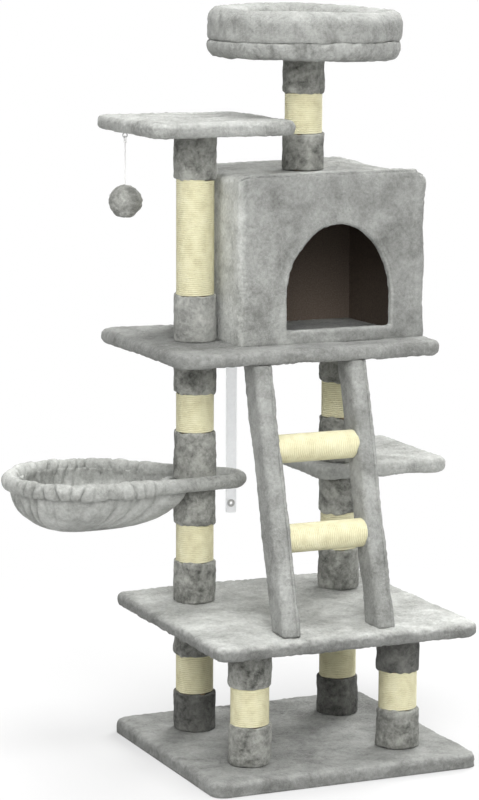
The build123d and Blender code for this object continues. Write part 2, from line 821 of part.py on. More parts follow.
# Safety strap, on a pin under the middle platform
strap_x = middle_x + strap_offset
strap_y = middle_y + middle_depth / 2 - strap_inset
pin_z = middle_z - pin_drop
anchor_low = middle_z - anchor_thickness
anchor = Box(anchor_width, anchor_depth, anchor_thickness)
anchor = Pos(strap_x, strap_y, middle_z - anchor_thickness / 2) * anchor
ear_x = strap_width / 2 + ear_gap + anchor_ear / 2
ear_height = pin_drop + barrel_radius
for side in (-1, 1):
    ear = Box(anchor_ear, 2 * barrel_radius, ear_height)
    anchor = anchor + Pos(strap_x + side * ear_x, strap_y, middle_z - ear_height / 2) * ear
anchor = anchor + Pos(strap_x, strap_y, pin_z) * along_x * Cylinder(pin_radius, 2 * ear_x)
screw_tip = middle.core_z + board_thickness * anchor_screw_share
for side in (-1, 1):
    screw_x = strap_x + side * (anchor_width / 2 - anchor_screw_inset)
    anchor = anchor - rod(screw_x, strap_y, anchor_low - overcut, middle_z + overcut, screw_reach)
    screw = rod(screw_x, strap_y, anchor_low, screw_tip, screw_radius)
    screw = screw + rod(screw_x, strap_y, anchor_low - screw_head_height, anchor_low, screw_head_radius)
    add("wood_screws", screw)
    hole_low = middle_z - overcut
    middle.core = middle.core - rod(screw_x, strap_y, hole_low, screw_tip + fit, screw_reach)
    middle.cover = middle.cover - rod(screw_x, strap_y, hole_low, middle.core_z + fit, screw_reach)
add("strap_anchor", anchor)

barrel = along_x * Cylinder(barrel_radius, strap_width)
strip = Pos(0, 0, -strap_length / 2) * Box(strap_width, strap_thickness, strap_length)
strip = fillet(strip.edges().filter_by(Axis.Y).group_by(Axis.Z)[0], strap_end_radius)
for side in (-1, 1):
    rib_x = side * (strap_width / 2 - strap_rib / 2)
    rib_length = strap_length - 2 * strap_end_radius
    rib_y = -strap_thickness / 2 - strap_rib_height / 2
    rib = Pos(rib_x, rib_y, -rib_length / 2) * Box(strap_rib, strap_rib_height, rib_length)
    strip = strip + rib
strap = barrel + strip - along_x * Cylinder(pin_radius + pin_clearance, 2 * strap_width)
hole_z = -strap_length + strap_hole_up
strap = strap - Pos(0, 0, hole_z) * along_y * Cylinder(eyelet_barrel + fit, 4 * barrel_radius)
eyelet_half = strap_thickness / 2 + eyelet_lip + eyelet_play
eyelet = Cylinder(eyelet_barrel, 2 * eyelet_half)
for side in (-1, 1):
    eyelet = eyelet + Pos(0, 0, side * (eyelet_half - eyelet_lip / 2)) * Cylinder(eyelet_flange, eyelet_lip)
eyelet = along_y * (eyelet - Cylinder(eyelet_bore, 4 * eyelet_half))
hang = Pos(strap_x, strap_y, pin_z)
add("safety_strap", hang * strap)
add("strap_eyelet", hang * Pos(0, 0, hole_z) * eyelet)

# Studs between stacked posts, and bolts where a post ends at a board
add("post_studs", lower.stud(-column_x, column_y))
add("post_studs", lower.stud(column_x, column_y))
add("post_studs", step.stud(column_x, column_y))
add("post_studs", middle.stud(-column_x, column_y))
add("post_studs", rod(-column_x, column_y, step_z - thread, step_top + thread, stud_radius))
for side in (-1, 1):
    for y in (leg_front_y, column_y):
        add("post_bolts", base.post_bolt_up(side * column_x, y))
    add("post_bolts", lower.post_bolt_down(side * column_x, leg_front_y))
add("post_bolts", middle.post_bolt_down(column_x, column_y))
add("post_bolts", lookout.post_bolt_down(-column_x, column_y))
add("post_bolts", roof.post_bolt_up(perch_x, perch_y))
add("post_bolts", perch_bolt)

for board in (base, lower, step, middle, lookout, roof):
    board.finish()

for name, solids in parts.items():
    bodies = [body for solid in solids for body in solid.solids()]
    export_step(Compound(bodies), f"parts/{name}.step")
    print(name, len(bodies), [round(v, 1) for v in Compound(bodies).bounding_box().size.to_tuple()])
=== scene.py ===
import json
import math

import bmesh
import bpy
import numpy as np
from mathutils import Matrix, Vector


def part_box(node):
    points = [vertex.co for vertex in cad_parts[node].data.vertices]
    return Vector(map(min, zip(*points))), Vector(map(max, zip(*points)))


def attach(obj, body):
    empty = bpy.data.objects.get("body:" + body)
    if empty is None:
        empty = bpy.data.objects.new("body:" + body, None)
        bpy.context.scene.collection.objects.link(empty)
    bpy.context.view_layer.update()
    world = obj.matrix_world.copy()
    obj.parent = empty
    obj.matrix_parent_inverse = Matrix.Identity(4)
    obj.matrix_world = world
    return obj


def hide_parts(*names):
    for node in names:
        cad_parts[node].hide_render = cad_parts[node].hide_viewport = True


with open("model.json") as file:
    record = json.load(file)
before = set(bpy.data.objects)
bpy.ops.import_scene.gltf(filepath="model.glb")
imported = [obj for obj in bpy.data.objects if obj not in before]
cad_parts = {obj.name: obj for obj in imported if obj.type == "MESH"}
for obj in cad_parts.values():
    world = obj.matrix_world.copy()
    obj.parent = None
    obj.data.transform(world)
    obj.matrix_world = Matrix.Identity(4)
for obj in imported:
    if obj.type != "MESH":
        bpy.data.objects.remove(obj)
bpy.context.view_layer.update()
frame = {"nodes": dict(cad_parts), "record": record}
scene = bpy.context.scene
scene.view_settings.view_transform = "Standard"

# Sizes in metres, the same as the solids have
COLUMN_X = 0.139
COLUMN_Y = 0.1085
LEG_FRONT_Y = -0.129
TUBE_RADIUS = 0.028
ROPE_OUTSIDE = 0.0330
COLLAR_RADIUS = 0.0365
POST_LENGTH = 0.204
LEG_COLLARS = (0.068, 0.070)
COLUMN_COLLARS = (0.072, 0.066)
RIGHT_COLLARS = (0.081, 0.061)
LOOKOUT_COLLARS = (0.080, 0.080)
PERCH_COLLARS = (0.063, 0.072)
HUB_MORE = 0.0101
STRINGER_WIDTH = 0.0331
STRINGER_DEPTH = 0.0575
RUNG_SPAN = 0.1417
DOOR_X = 0.086
DOOR_HALF_WIDTH = 0.100
DOOR_STRAIGHT = 0.072
DOOR_RISE = 0.130
BASE_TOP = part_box("base_cover")[1].z
LOWER_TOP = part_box("lower_platform_cover")[1].z
STEP_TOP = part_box("step_cover")[1].z
MIDDLE_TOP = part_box("middle_platform_cover")[1].z
LOOKOUT_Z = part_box("lookout_cover")[0].z
ROOF_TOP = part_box("condo_roof_cover")[1].z


# Camera at the photograph's place
CAMERA_PLACE = (-2.1062, -4.5250, 1.4244)
CAMERA_YAW = math.radians(23.88)
CAMERA_PITCH = math.radians(9.207)
CAMERA_ROLL = math.radians(0.225)
SENSOR_WIDTH = 36.0
FOCAL_PIXELS = 2952.5
PICTURE_PIXELS = 800.0


def axes_matrix(side, up, back, place):
    """The matrix of a camera or a lamp, from the ways that its axes point and its place."""
    matrix = Matrix.Identity(4)
    for row in range(3):
        matrix[row][0] = side[row]
        matrix[row][1] = up[row]
        matrix[row][2] = back[row]
    matrix.translation = place
    return matrix


def place_camera():
    level = math.cos(CAMERA_PITCH)
    ahead = np.array([math.sin(CAMERA_YAW) * level, math.cos(CAMERA_YAW) * level, -math.sin(CAMERA_PITCH)])
    right = np.array([math.cos(CAMERA_YAW), -math.sin(CAMERA_YAW), 0.0])
    up = np.cross(right, ahead)
    side = math.cos(CAMERA_ROLL) * right + math.sin(CAMERA_ROLL) * up
    top = -math.sin(CAMERA_ROLL) * right + math.cos(CAMERA_ROLL) * up
    camera = bpy.data.objects.new("camera", bpy.data.cameras.new("camera"))
    scene.collection.objects.link(camera)
    camera.matrix_world = axes_matrix(side, top, -ahead, CAMERA_PLACE)
    camera.data.sensor_width = SENSOR_WIDTH
    camera.data.lens = SENSOR_WIDTH * FOCAL_PIXELS / PICTURE_PIXELS
    camera.data.clip_end = 50.0
    scene.camera = camera


# Repeatable noise, the same on every run
def lattice(i, j, k, seed):
    n = (i * 374761393 + j * 668265263 + k * 1442695041 + seed * 974711) & 0xFFFFFFFF
    n = ((n ^ (n >> 13)) * 1274126177) & 0xFFFFFFFF
    return ((n ^ (n >> 16)) & 0xFFFF) / 32767.5 - 1.0


def noise(points, size, seed=0):
    """Smooth noise from -1 to 1 at each point, with lumps about size across."""
    p = np.asarray(points, float) / size
    low = np.floor(p).astype(np.int64)
    f = p - low
    f = f * f * (3.0 - 2.0 * f)
    total = np.zeros(len(p))
    for dx in (0, 1):
        for dy in (0, 1):
            for dz in (0, 1):
                weight = (
                    (f[:, 0] if dx else 1 - f[:, 0])
                    * (f[:, 1] if dy else 1 - f[:, 1])
                    * (f[:, 2] if dz else 1 - f[:, 2])
                )
                total += weight * lattice(low[:, 0] + dx, low[:, 1] + dy, low[:, 2] + dz, seed)
    return total


def on_line(at):
    """Distances along a line as points, for noise that changes along it alone."""
    return np.stack([at, at * 0, at * 0], axis=1)


# Soft curves and turns
LEVEL = np.array([1.0, 1.0, 0.0])
UPRIGHT = np.array([0.0, 0.0, 1.0])


def smooth_step(x):
    x = np.clip(x, 0.0, 1.0)
    return x * x * (3.0 - 2.0 * x)


def hump(offset, width):
    """A rounded bump that is 1 in its middle and fades out over about twice its width."""
    return np.exp(-((offset / width) ** 2))


def rises(value, after, over):
    """0 up to one value, and from there up to 1 over a stretch."""
    return smooth_step((value - after) / over)


def falls(value, before, over):
    """Down to 0 at one value, from 1 a stretch before it."""
    return smooth_step((before - value) / over)


def wrapped(angle):
    """An angle brought to within half a turn either way."""
    return (angle + math.pi) % (2 * math.pi) - math.pi


# Materials
def new_material(name):
    material = bpy.data.materials.new(name)
    material.use_nodes = True
    tree = material.node_tree
    shader = tree.nodes["Principled BSDF"]
    return material, tree, shader


def set_inputs(node, **values):
    for name, value in values.items():
        node.inputs[name.replace("_", " ")].default_value = value


def noise_node(tree, scale, detail, roughness):
    place = tree.nodes.new("ShaderNodeTexCoord")
    node = tree.nodes.new("ShaderNodeTexNoise")
    set_inputs(node, Scale=scale, Detail=detail, Roughness=roughness)
    tree.links.new(place.outputs["Object"], node.inputs["Vector"])
    return node


def split_coordinate(tree, output):
    """The three parts of a texture coordinate, such as the place or the normal."""
    place = tree.nodes.new("ShaderNodeTexCoord")
    split = tree.nodes.new("ShaderNodeSeparateXYZ")
    tree.links.new(place.outputs[output], split.inputs["Vector"])
    return split.outputs


def maths(tree, operation, a, b):
    node = tree.nodes.new("ShaderNodeMath")
    node.operation = operation
    for socket, value in zip(node.inputs, (a, b)):
        if isinstance(value, (int, float)):
            socket.default_value = value
        else:
            tree.links.new(value, socket)
    return node.outputs[0]


def ranged(tree, value, start, end, at_start, at_end):
    """A value that runs evenly from at_start to at_end while another runs from start to end."""
    node = tree.nodes.new("ShaderNodeMapRange")
    set_inputs(node, From_Min=start, From_Max=end, To_Min=at_start, To_Max=at_end)
    tree.links.new(value, node.inputs["Value"])
    return node.outputs["Result"]


def scaled(tree, colour, shade):
    node = tree.nodes.new("ShaderNodeVectorMath")
    node.operation = "SCALE"
    tree.links.new(colour, node.inputs["Vector"])
    tree.links.new(shade, node.inputs["Scale"])
    return node.outputs["Vector"]


def ramp(tree, value, stops):
    node = tree.nodes.new("ShaderNodeValToRGB")
    while len(node.color_ramp.elements) < len(stops):
        node.color_ramp.elements.new(0.5)
    for element, (place, colour) in zip(node.color_ramp.elements, stops):
        element.position = place
        element.color = (*colour, 1.0)
    tree.links.new(value, node.inputs["Fac"])
    return node.outputs["Color"]


def bump(tree, shader, height, strength, distance):
    node = tree.nodes.new("ShaderNodeBump")
    set_inputs(node, Strength=strength, Distance=distance)
    tree.links.new(height, node.inputs["Height"])
    tree.links.new(node.outputs["Normal"], shader.inputs["Normal"])


def plush_material(name, dark, light, patch, pile_scale, shares, painted_shades=(0.87, 1.12), painted_left_light=1.0):
    """Short pile: swirls and strokes laid by brushing, clumps of fibres and single fibres.

    The shares say how much each of the four counts, and the two painted shades how light the sides
    and the top are painted, as painted light and shade by facing. Faces turned to the left are
    painted lighter by the painted left light.
    """
    material, tree, shader = new_material(name)
    swirls = noise_node(tree, patch, 3.0, 0.55)
    set_inputs(swirls, Distortion=0.7)
    strokes = noise_node(tree, patch * 4.0, 4.0, 0.6)
    set_inputs(strokes, Distortion=0.5)
    clumps = noise_node(tree, pile_scale, 5.0, 0.72)
    fibres = noise_node(tree, pile_scale * 4.5, 3.0, 0.7)
    layers = [node.outputs["Fac"] for node in (swirls, strokes, clumps, fibres)]
    mixed = maths(tree, "MULTIPLY", layers[0], shares[0])
    for layer, share in zip(layers[1:], shares[1:]):
        mixed = maths(tree, "ADD", mixed, maths(tree, "MULTIPLY", layer, share))
    colour = ramp(tree, mixed, ((0.38, dark), (0.62, light)))
    # Painted light and shade: sides and top scaled by facing, and left-facing faces painted lighter
    facing = split_coordinate(tree, "Normal")
    painted_facing_shade = ranged(tree, facing["Z"], 0.1, 0.95, *painted_shades)
    left_light_factor = ranged(tree, facing["X"], -0.3, -0.9, 1.0, painted_left_light)
    painted_colour = scaled(tree, colour, maths(tree, "MULTIPLY", painted_facing_shade, left_light_factor))
    tree.links.new(painted_colour, shader.inputs["Base Color"])
    height = maths(tree, "ADD", layers[2], maths(tree, "MULTIPLY", layers[3], 0.5))
    height = maths(tree, "ADD", height, maths(tree, "MULTIPLY", layers[1], 0.9))
    bump(tree, shader, height, 0.85, 0.0045)
    set_inputs(shader, Roughness=0.95, Specular_IOR_Level=0.1, Sheen_Weight=0.15, Sheen_Roughness=0.6)
    return material


def sisal_material():
    material, tree, shader = new_material("sisal")
    fibre = noise_node(tree, 900.0, 4.0, 0.7).outputs["Fac"]
    length = noise_node(tree, 55.0, 3.0, 0.6).outputs["Fac"]
    mixed = maths(tree, "ADD", maths(tree, "MULTIPLY", fibre, 0.5), maths(tree, "MULTIPLY", length, 0.5))
    stops = ((0.30, (0.50, 0.455, 0.285)), (0.5, (0.66, 0.63, 0.43)), (0.7, (0.74, 0.715, 0.535)))
    tree.links.new(ramp(tree, mixed, stops), shader.inputs["Base Color"])
    bump(tree, shader, fibre, 0.5, 0.0008)
    set_inputs(shader, Roughness=0.8, Specular_IOR_Level=0.25)
    return material


def grained_material(name, grain, stops, relief, roughness):
    """A plain ground with a fine grain in its colour and its relief."""
    material, tree, shader = new_material(name)
    flecks = noise_node(tree, *grain).outputs["Fac"]
    tree.links.new(ramp(tree, flecks, stops), shader.inputs["Base Color"])
    bump(tree, shader, flecks, *relief)
    set_inputs(shader, Roughness=roughness)
    return material, shader


def board_material(name, dark, light):
    """Pressed board or wound card."""
    stops = ((0.35, dark), (0.65, light))
    material, _ = grained_material(name, (420.0, 4.0, 0.65), stops, (0.25, 0.0006), 0.75)
    return material


def steel_material():
    stops = ((0.3, (0.5, 0.5, 0.51)), (0.7, (0.66, 0.66, 0.67)))
    material, shader = grained_material("steel", (700.0, 3.0, 0.6), stops, (0.1, 0.0003), 0.34)
    set_inputs(shader, Metallic=1.0)
    return material


def strap_material():
    stops = ((0.3, (0.84, 0.85, 0.86)), (0.7, (0.92, 0.93, 0.935)))
    material, shader = grained_material("strap", (160.0, 3.0, 0.55), stops, (0.12, 0.0004), 0.45)
    set_inputs(shader, IOR=1.45, Transmission_Weight=0.8)
    return material


def cord_material():
    stops = ((0.3, (0.70, 0.70, 0.69)), (0.7, (0.86, 0.86, 0.85)))
    material, _ = grained_material("cord", (1400.0, 2.0, 0.5), stops, (0.4, 0.0004), 0.8)
    return material


# Painted light and shade for each part: how light its grey pile is painted on the sides and on top
PAINTED_SHADE_BY_PART = {
    "base": (0.58, 0.90),
    "lower_platform": (0.56, 1.30),
    "step": (0.90, 1.33),
    "middle_platform": (0.66, 0.80),
    "lookout": (0.84, 1.20),
    "condo": (0.94, 1.24),
    "perch": (0.83, 1.07),
    "perch_lip": (0.81, 1.04),
    "ladder": (0.77, 0.97),
    "hammock": (1.04, 1.34),
}
# Swirls of the pile per metre, which lie closer on two parts, and clumps of fibres per metre
USUAL_PATCH = 11.0
PATCH = {"perch_lip": 34.0, "base": 14.0}
GREY_PILE = 190.0
GREY_TONES = ((0.205, 0.209, 0.194), (0.560, 0.570, 0.545))
GREY_SHARES = (0.36, 0.22, 0.28, 0.14)
# Painted light on faces turned to the left, for each part that has it
PAINTED_LEFT_LIGHT_BY_PART = {"condo": 1.65}
# Lit and shaded copies of the one grey plush, one for each part
GREY = {}
for part, part_painted_shades in PAINTED_SHADE_BY_PART.items():
    patch = PATCH.get(part, USUAL_PATCH)
    left = PAINTED_LEFT_LIGHT_BY_PART.get(part, 1.0)
    name = part + "_grey_plush"
    GREY[part] = plush_material(name, *GREY_TONES, patch, GREY_PILE, GREY_SHARES, part_painted_shades, left)
# The posts' collars come in three tones, each a material of the same mesh: a middle tone,
# and a lighter copy for painted light and a darker copy for painted shade
COLLAR_PATCH = 24.0
COLLAR_PILE = 170.0
COLLAR_SHARES = (0.40, 0.28, 0.22, 0.10)
COLLAR_TONES = (
    ("post_plush", (0.069, 0.071, 0.061), (0.53, 0.535, 0.493)),
    ("pale_post_plush", (0.19, 0.193, 0.18), (0.62, 0.625, 0.585)),
    ("dark_post_plush", (0.030, 0.031, 0.027), (0.25, 0.252, 0.232)),
)
COLLAR_LOOKS = [plush_material(*tone, COLLAR_PATCH, COLLAR_PILE, COLLAR_SHARES) for tone in COLLAR_TONES]
MIDDLE, PAINTED_LIGHT_COLLAR, PAINTED_SHADE_COLLAR = range(len(COLLAR_LOOKS))
BOTH_MIDDLE = (MIDDLE, MIDDLE)
BALL_TONES = ((0.11, 0.113, 0.10), (0.53, 0.535, 0.50))
BALL_PATCH = 22.0
BALL_SHARES = (0.40, 0.22, 0.24, 0.14)
BALL = plush_material("ball_plush", *BALL_TONES, BALL_PATCH, GREY_PILE, BALL_SHARES)
SISAL = sisal_material()
BOARD = board_material("fibreboard", (0.085, 0.064, 0.049), (0.150, 0.115, 0.088))
CARD = board_material("card", (0.33, 0.24, 0.15), (0.46, 0.35, 0.23))
STEEL = steel_material()
STRAP = strap_material()
CORD = cord_material()


# Meshes
def piece(name, points, faces, material, body, slot, *replaced):
    mesh = bpy.data.meshes.new(name)
    mesh.from_pydata(np.asarray(points, float).tolist(), [], faces)
    shell = bmesh.new()
    shell.from_mesh(mesh)
    bmesh.ops.recalc_face_normals(shell, faces=shell.faces)
    shell.to_mesh(mesh)
    shell.free()
    mesh.polygons.foreach_set("use_smooth", [True] * len(mesh.polygons))
    mesh.materials.append(material)
    obj = bpy.data.objects.new(name, mesh)
    scene.collection.objects.link(obj)
    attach(obj, body)
    if replaced:
        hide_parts(*replaced)
    return obj


def grey_piece(name, look, points, faces, body, *replaced):
    return piece(name + "_plush", points, faces, GREY[look], body, "grey_plush", *replaced)


def points_of(mesh):
    co = np.empty(len(mesh.vertices) * 3)
    mesh.vertices.foreach_get("co", co)
    return co.reshape(-1, 3)


def set_points(mesh, points):
    mesh.vertices.foreach_set("co", np.ascontiguousarray(points, float).ravel())
    mesh.update()


def normals_of(mesh):
    n = np.empty(len(mesh.vertices) * 3)
    mesh.vertices.foreach_get("normal", n)
    return n.reshape(-1, 3)


def add_pile(obj, seed, broad=0.0014, broad_size=0.05, fine=0.0010, fine_size=0.007, floor=None):
    """Uneven plush: slow swells and fine tufts along the normals."""
    points = points_of(obj.data)
    amount = broad * noise(points, broad_size, seed) + fine * noise(points, fine_size, seed + 1)
    moved = points + normals_of(obj.data) * amount[:, None]
    if floor is not None:
        held = points[:, 2] < floor
        moved[held] = points[held]
    set_points(obj.data, moved)


def grid_faces(rows, columns, close_rows=False, close_columns=False, start=0):
    faces = []
    for r in range(rows if close_rows else rows - 1):
        here = start + r * columns
        above = start + (r + 1) % rows * columns
        for c in range(columns if close_columns else columns - 1):
            beside = (c + 1) % columns
            faces.append((here + c, here + beside, above + beside, above + c))
    return faces


def ticks(length, edge, step):
    """Grid lines along one side, closer together near both ends."""
    near = edge * np.array([0.0, 0.2, 0.42, 0.68, 1.0])
    inset = 1.6 * edge
    count = max(2, round((length - 2 * inset) / step) + 1)
    inner = np.linspace(inset, length - inset, count)
    return np.concatenate([near, inner, length - near[::-1]]) - length / 2


def box_shell(xs, ys, zs):
    """The surface of a box, as points on grid lines and quads."""
    size = (len(xs), len(ys), len(zs))
    index = -np.ones(size, int)
    i, j, k = np.meshgrid(*(np.arange(n) for n in size), indexing="ij")
    skin = (i == 0) | (i == size[0] - 1) | (j == 0) | (j == size[1] - 1) | (k == 0) | (k == size[2] - 1)
    index[skin] = np.arange(skin.sum())
    points = np.stack([xs[i[skin]], ys[j[skin]], zs[k[skin]]], axis=1)
    faces = []
    for axis in range(3):
        for end in (0, -1):
            sheet = np.take(index, end, axis=axis)
            quads = np.stack([sheet[:-1, :-1], sheet[1:, :-1], sheet[1:, 1:], sheet[:-1, 1:]], axis=-1)
            faces += quads.reshape(-1, 4).tolist()
    return points, faces


def round_box(points, half, corner, edge, square_foot=False):
    """Rounds a box shell's upright edges by corner, and its top and bottom rims by edge."""
    p = points.copy()
    flat = p[:, :2]
    core = np.clip(flat, -(half[:2] - corner), half[:2] - corner)
    out = flat - core
    reach = np.abs(out).max(1)
    length = np.hypot(out[:, 0], out[:, 1])
    way = np.divide(out, length[:, None], out=np.zeros_like(out), where=length[:, None] > 0)
    inside = corner - reach
    rim = half[2] - np.abs(p[:, 2])
    if square_foot:
        rim = np.where(p[:, 2] < 0, edge, rim)
    u = np.clip(edge - inside, 0, edge)
    v = np.clip(edge - rim, 0, edge)
    span = np.hypot(u, v)
    shrink = np.divide(np.maximum(u, v), span, out=np.ones_like(span), where=span > 0)
    inward = u - u * shrink
    p[:, :2] = core + way * (reach - inward)[:, None]
    p[:, 2] -= np.sign(p[:, 2]) * (v - v * shrink)
    return p


# Boards
SLAB_EDGE = 0.0105
SLAB_CORNER = 0.024
SLAB_STEP = 0.0033
SLAB_ROWS = 11
FOOT_LIFT = 0.001
STILL_FOOT = 0.002


def slab(part, seed, square_foot=False):
    """A plush-covered board in the place of its CAD cover."""
    node = part + "_cover"
    low, high = (np.array(v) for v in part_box(node))
    if square_foot:
        low[2] += FOOT_LIFT
    size = high - low
    half = size / 2
    xs = ticks(size[0], SLAB_EDGE, SLAB_STEP)
    ys = ticks(size[1], SLAB_EDGE, SLAB_STEP)
    points, faces = box_shell(xs, ys, np.linspace(-half[2], half[2], SLAB_ROWS))
    points = round_box(points, half, SLAB_CORNER, SLAB_EDGE, square_foot) + (low + high) / 2
    obj = grey_piece(part, part, points, faces, "tree", node)
    still_below = low[2] + STILL_FOOT if square_foot else None
    add_pile(obj, seed, fine=0.0012, fine_size=0.0055, floor=still_below)


# Turned shapes
def lathe(profile, segments, centre, closed=True):
    """Turns a profile of (radius, height) points round an upright axis."""
    profile = np.asarray(profile, float)
    angle = np.arange(segments) * 2 * math.pi / segments
    x = profile[:, :1] * np.cos(angle) + centre[0]
    y = profile[:, :1] * np.sin(angle) + centre[1]
    z = np.repeat(profile[:, 1:], segments, axis=1) + centre[2]
    points = np.stack([x, y, z], axis=-1).reshape(-1, 3)
    faces = grid_faces(len(profile), segments, close_rows=closed, close_columns=True)
    if not closed:
        last = (len(profile) - 1) * segments
        faces.append(tuple(range(segments)))
        faces.append(tuple(last + k for k in range(segments)))
    return points, faces


def even_ring(outline, step):
    """Points about step apart round a closed outline, and how far along it each lies."""
    ring = np.concatenate([outline, outline[:1]])
    along = np.concatenate([[0], np.cumsum(np.linalg.norm(np.diff(ring, axis=0), axis=1))])
    at = np.linspace(0, along[-1], round(along[-1] / step) + 1)[:-1]
    return np.stack([np.interp(at, along, ring[:, k]) for k in (0, 1)], axis=1), at


def arc(centre, radius, start, end, count):
    angle = np.radians(np.linspace(start, end, count))
    return [(centre[0] + radius * math.cos(a), centre[1] + radius * math.sin(a)) for a in angle]


# Posts: collars and wound rope
ROPE_PITCH = 0.0035
ROPE_TALL = 0.00184
ROPE_THICK = 0.0015
perch_low, perch_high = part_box("perch_post_tube")
PERCH_X = (perch_low.x + perch_high.x) / 2
PERCH_Y = (perch_low.y + perch_high.y) / 2
NO_MORE = (0.0, 0.0)
SEAM_ANGLE = math.radians(70.0)
LEFT = (-COLUMN_X, COLUMN_Y)
RIGHT = (COLUMN_X, COLUMN_Y)
# The last column gives each post's foot and head collar tones; the pale and dark ones are painted light and
# painted shade
POSTS = [
    ("left_column", LEFT, LOWER_TOP, POST_LENGTH, COLUMN_COLLARS, (0.0, HUB_MORE), BOTH_MIDDLE),
    ("left_column", LEFT, STEP_TOP, POST_LENGTH, COLUMN_COLLARS, (HUB_MORE, 0.0), BOTH_MIDDLE),
    ("right_column", RIGHT, LOWER_TOP, POST_LENGTH, COLUMN_COLLARS, NO_MORE, BOTH_MIDDLE),
    ("right_column", RIGHT, STEP_TOP, POST_LENGTH, RIGHT_COLLARS, NO_MORE, BOTH_MIDDLE),
    ("lookout_post", LEFT, MIDDLE_TOP, LOOKOUT_Z - MIDDLE_TOP, LOOKOUT_COLLARS, NO_MORE, (PAINTED_LIGHT_COLLAR, MIDDLE)),
    ("perch_post", (PERCH_X, PERCH_Y), ROOF_TOP, POST_LENGTH, PERCH_COLLARS, NO_MORE, BOTH_MIDDLE),
]
for x, y, tones in (
    (-COLUMN_X, LEG_FRONT_Y, BOTH_MIDDLE),
    (-COLUMN_X, COLUMN_Y, (PAINTED_SHADE_COLLAR, MIDDLE)),
    (COLUMN_X, LEG_FRONT_Y, (MIDDLE, PAINTED_SHADE_COLLAR)),
    (COLUMN_X, COLUMN_Y, (PAINTED_SHADE_COLLAR, PAINTED_SHADE_COLLAR)),
):
    POSTS.append(("leg", (x, y), BASE_TOP, POST_LENGTH, LEG_COLLARS, NO_MORE, tones))


def collar_mesh(x, y, low, high, free_end):
    """A plush collar, ragged where it meets the rope, with its seam at the back."""
    outer = COLLAR_RADIUS
    inner = TUBE_RADIUS + 0.0006
    soft = 0.004
    lip = outer - soft - 0.002
    height = high - low
    step = 0.004
    straight = np.linspace(soft, height - soft, max(4, round(height / step)))[1:-1]
    profile = [(inner, 0), (lip, 0)]
    profile += arc((outer - soft, soft), soft, -80, 0, 5)
    profile += [(outer, h) for h in straight]
    profile += arc((outer - soft, height - soft), soft, 0, 80, 5)
    profile += [(lip, height), (inner, height)]
    points, faces = lathe(profile, 72, (x, y, low))
    ragged = 0.0022
    ragged_reach = 0.012
    near_end = 1 - smooth_step(np.abs(points[:, 2] - free_end) / ragged_reach)
    points[:, 2] += ragged * near_end * noise(points * LEVEL, 0.008, 6)
    around = np.arctan2(points[:, 1] - y, points[:, 0] - x)
    seam_width = 0.0028
    seam_depth = 0.0022
    seam = hump((around - SEAM_ANGLE) * outer, seam_width)
    points[:, 0] -= seam_depth * seam * math.cos(SEAM_ANGLE)
    points[:, 1] -= seam_depth * seam * math.sin(SEAM_ANGLE)
    return points, faces


def rope_mesh(radius, low, high, tuck=0.0021, segments=44, sides=8):
    """Rope wound tight round the upright axis between two heights, with both ends tucked in further."""
    low -= tuck
    high += tuck
    uneven = 0.06
    turns = (high - low - ROPE_PITCH) / ROPE_PITCH
    count = int(turns * segments) + 1
    angle = np.linspace(0, turns * 2 * math.pi, count)
    z = low + ROPE_PITCH / 2 + angle / (2 * math.pi) * ROPE_PITCH
    outward = np.stack([np.cos(angle), np.sin(angle), np.zeros(count)], axis=1)
    centre = outward * (radius - ROPE_THICK) + np.stack([np.zeros(count), np.zeros(count), z], axis=1)
    wobble = 1 + uneven * noise(centre, 0.012, 5)
    points = []
    for s in range(sides):
        turn = 2 * math.pi * s / sides
        upward = np.array([0.0, 0.0, ROPE_TALL * math.sin(turn)])
        offset = outward * (ROPE_THICK * math.cos(turn)) + upward
        points.append(centre + offset * wobble[:, None])
    points = np.stack(points, axis=1).reshape(-1, 3)
    faces = grid_faces(count, sides, close_columns=True)
    faces.append(tuple(range(sides)))
    faces.append(tuple((count - 1) * sides + s for s in range(sides)))
    return points, faces


def joined(parts):
    """Several meshes as one."""
    points = []
    faces = []
    start = 0
    for p, f in parts:
        points.append(p)
        faces += [tuple(start + v for v in face) for face in f]
        start += len(p)
    return np.concatenate(points), faces


def build_posts():
    groups = {}
    clear = 0.0002
    for group, (x, y), z, length, (foot, head), (foot_more, head_more), tones in POSTS:
        collars, looks, ropes = groups.setdefault(group, ([], [], []))
        top = z + length
        collars.append(collar_mesh(x, y, z - foot_more + clear, z + foot, z + foot))
        collars.append(collar_mesh(x, y, top - head, top + head_more - clear, top - head))
        for tone, (_, faces) in zip(tones, collars[-2:]):
            looks += [tone] * len(faces)
        points, faces = rope_mesh(ROPE_OUTSIDE, z + foot, top - head)
        ropes.append((points + np.array([x, y, 0.0]), faces))
    for seed, (group, (collars, looks, ropes)) in enumerate(groups.items()):
        first, *others = COLLAR_LOOKS
        obj = piece(group + "_plush", *joined(collars), first, "tree", "post_plush", group + "_collars")
        for material in others:
            obj.data.materials.append(material)
        obj.data.polygons.foreach_set("material_index", looks)
        add_pile(obj, 20 + seed, broad=0.0017, broad_size=0.028, fine=0.0009)
        piece(group + "_rope", *joined(ropes), SISAL, "tree", "sisal_rope", group + "_sisal")


# Ladder
STRINGER_CORNER = 0.0092
STRINGER_RIM = 0.002
STRINGER_ROWS = 120
RUNG_RADIUS = 0.0194
RUNG_ROPE = 0.005
RUNG_TUCK = 0.007


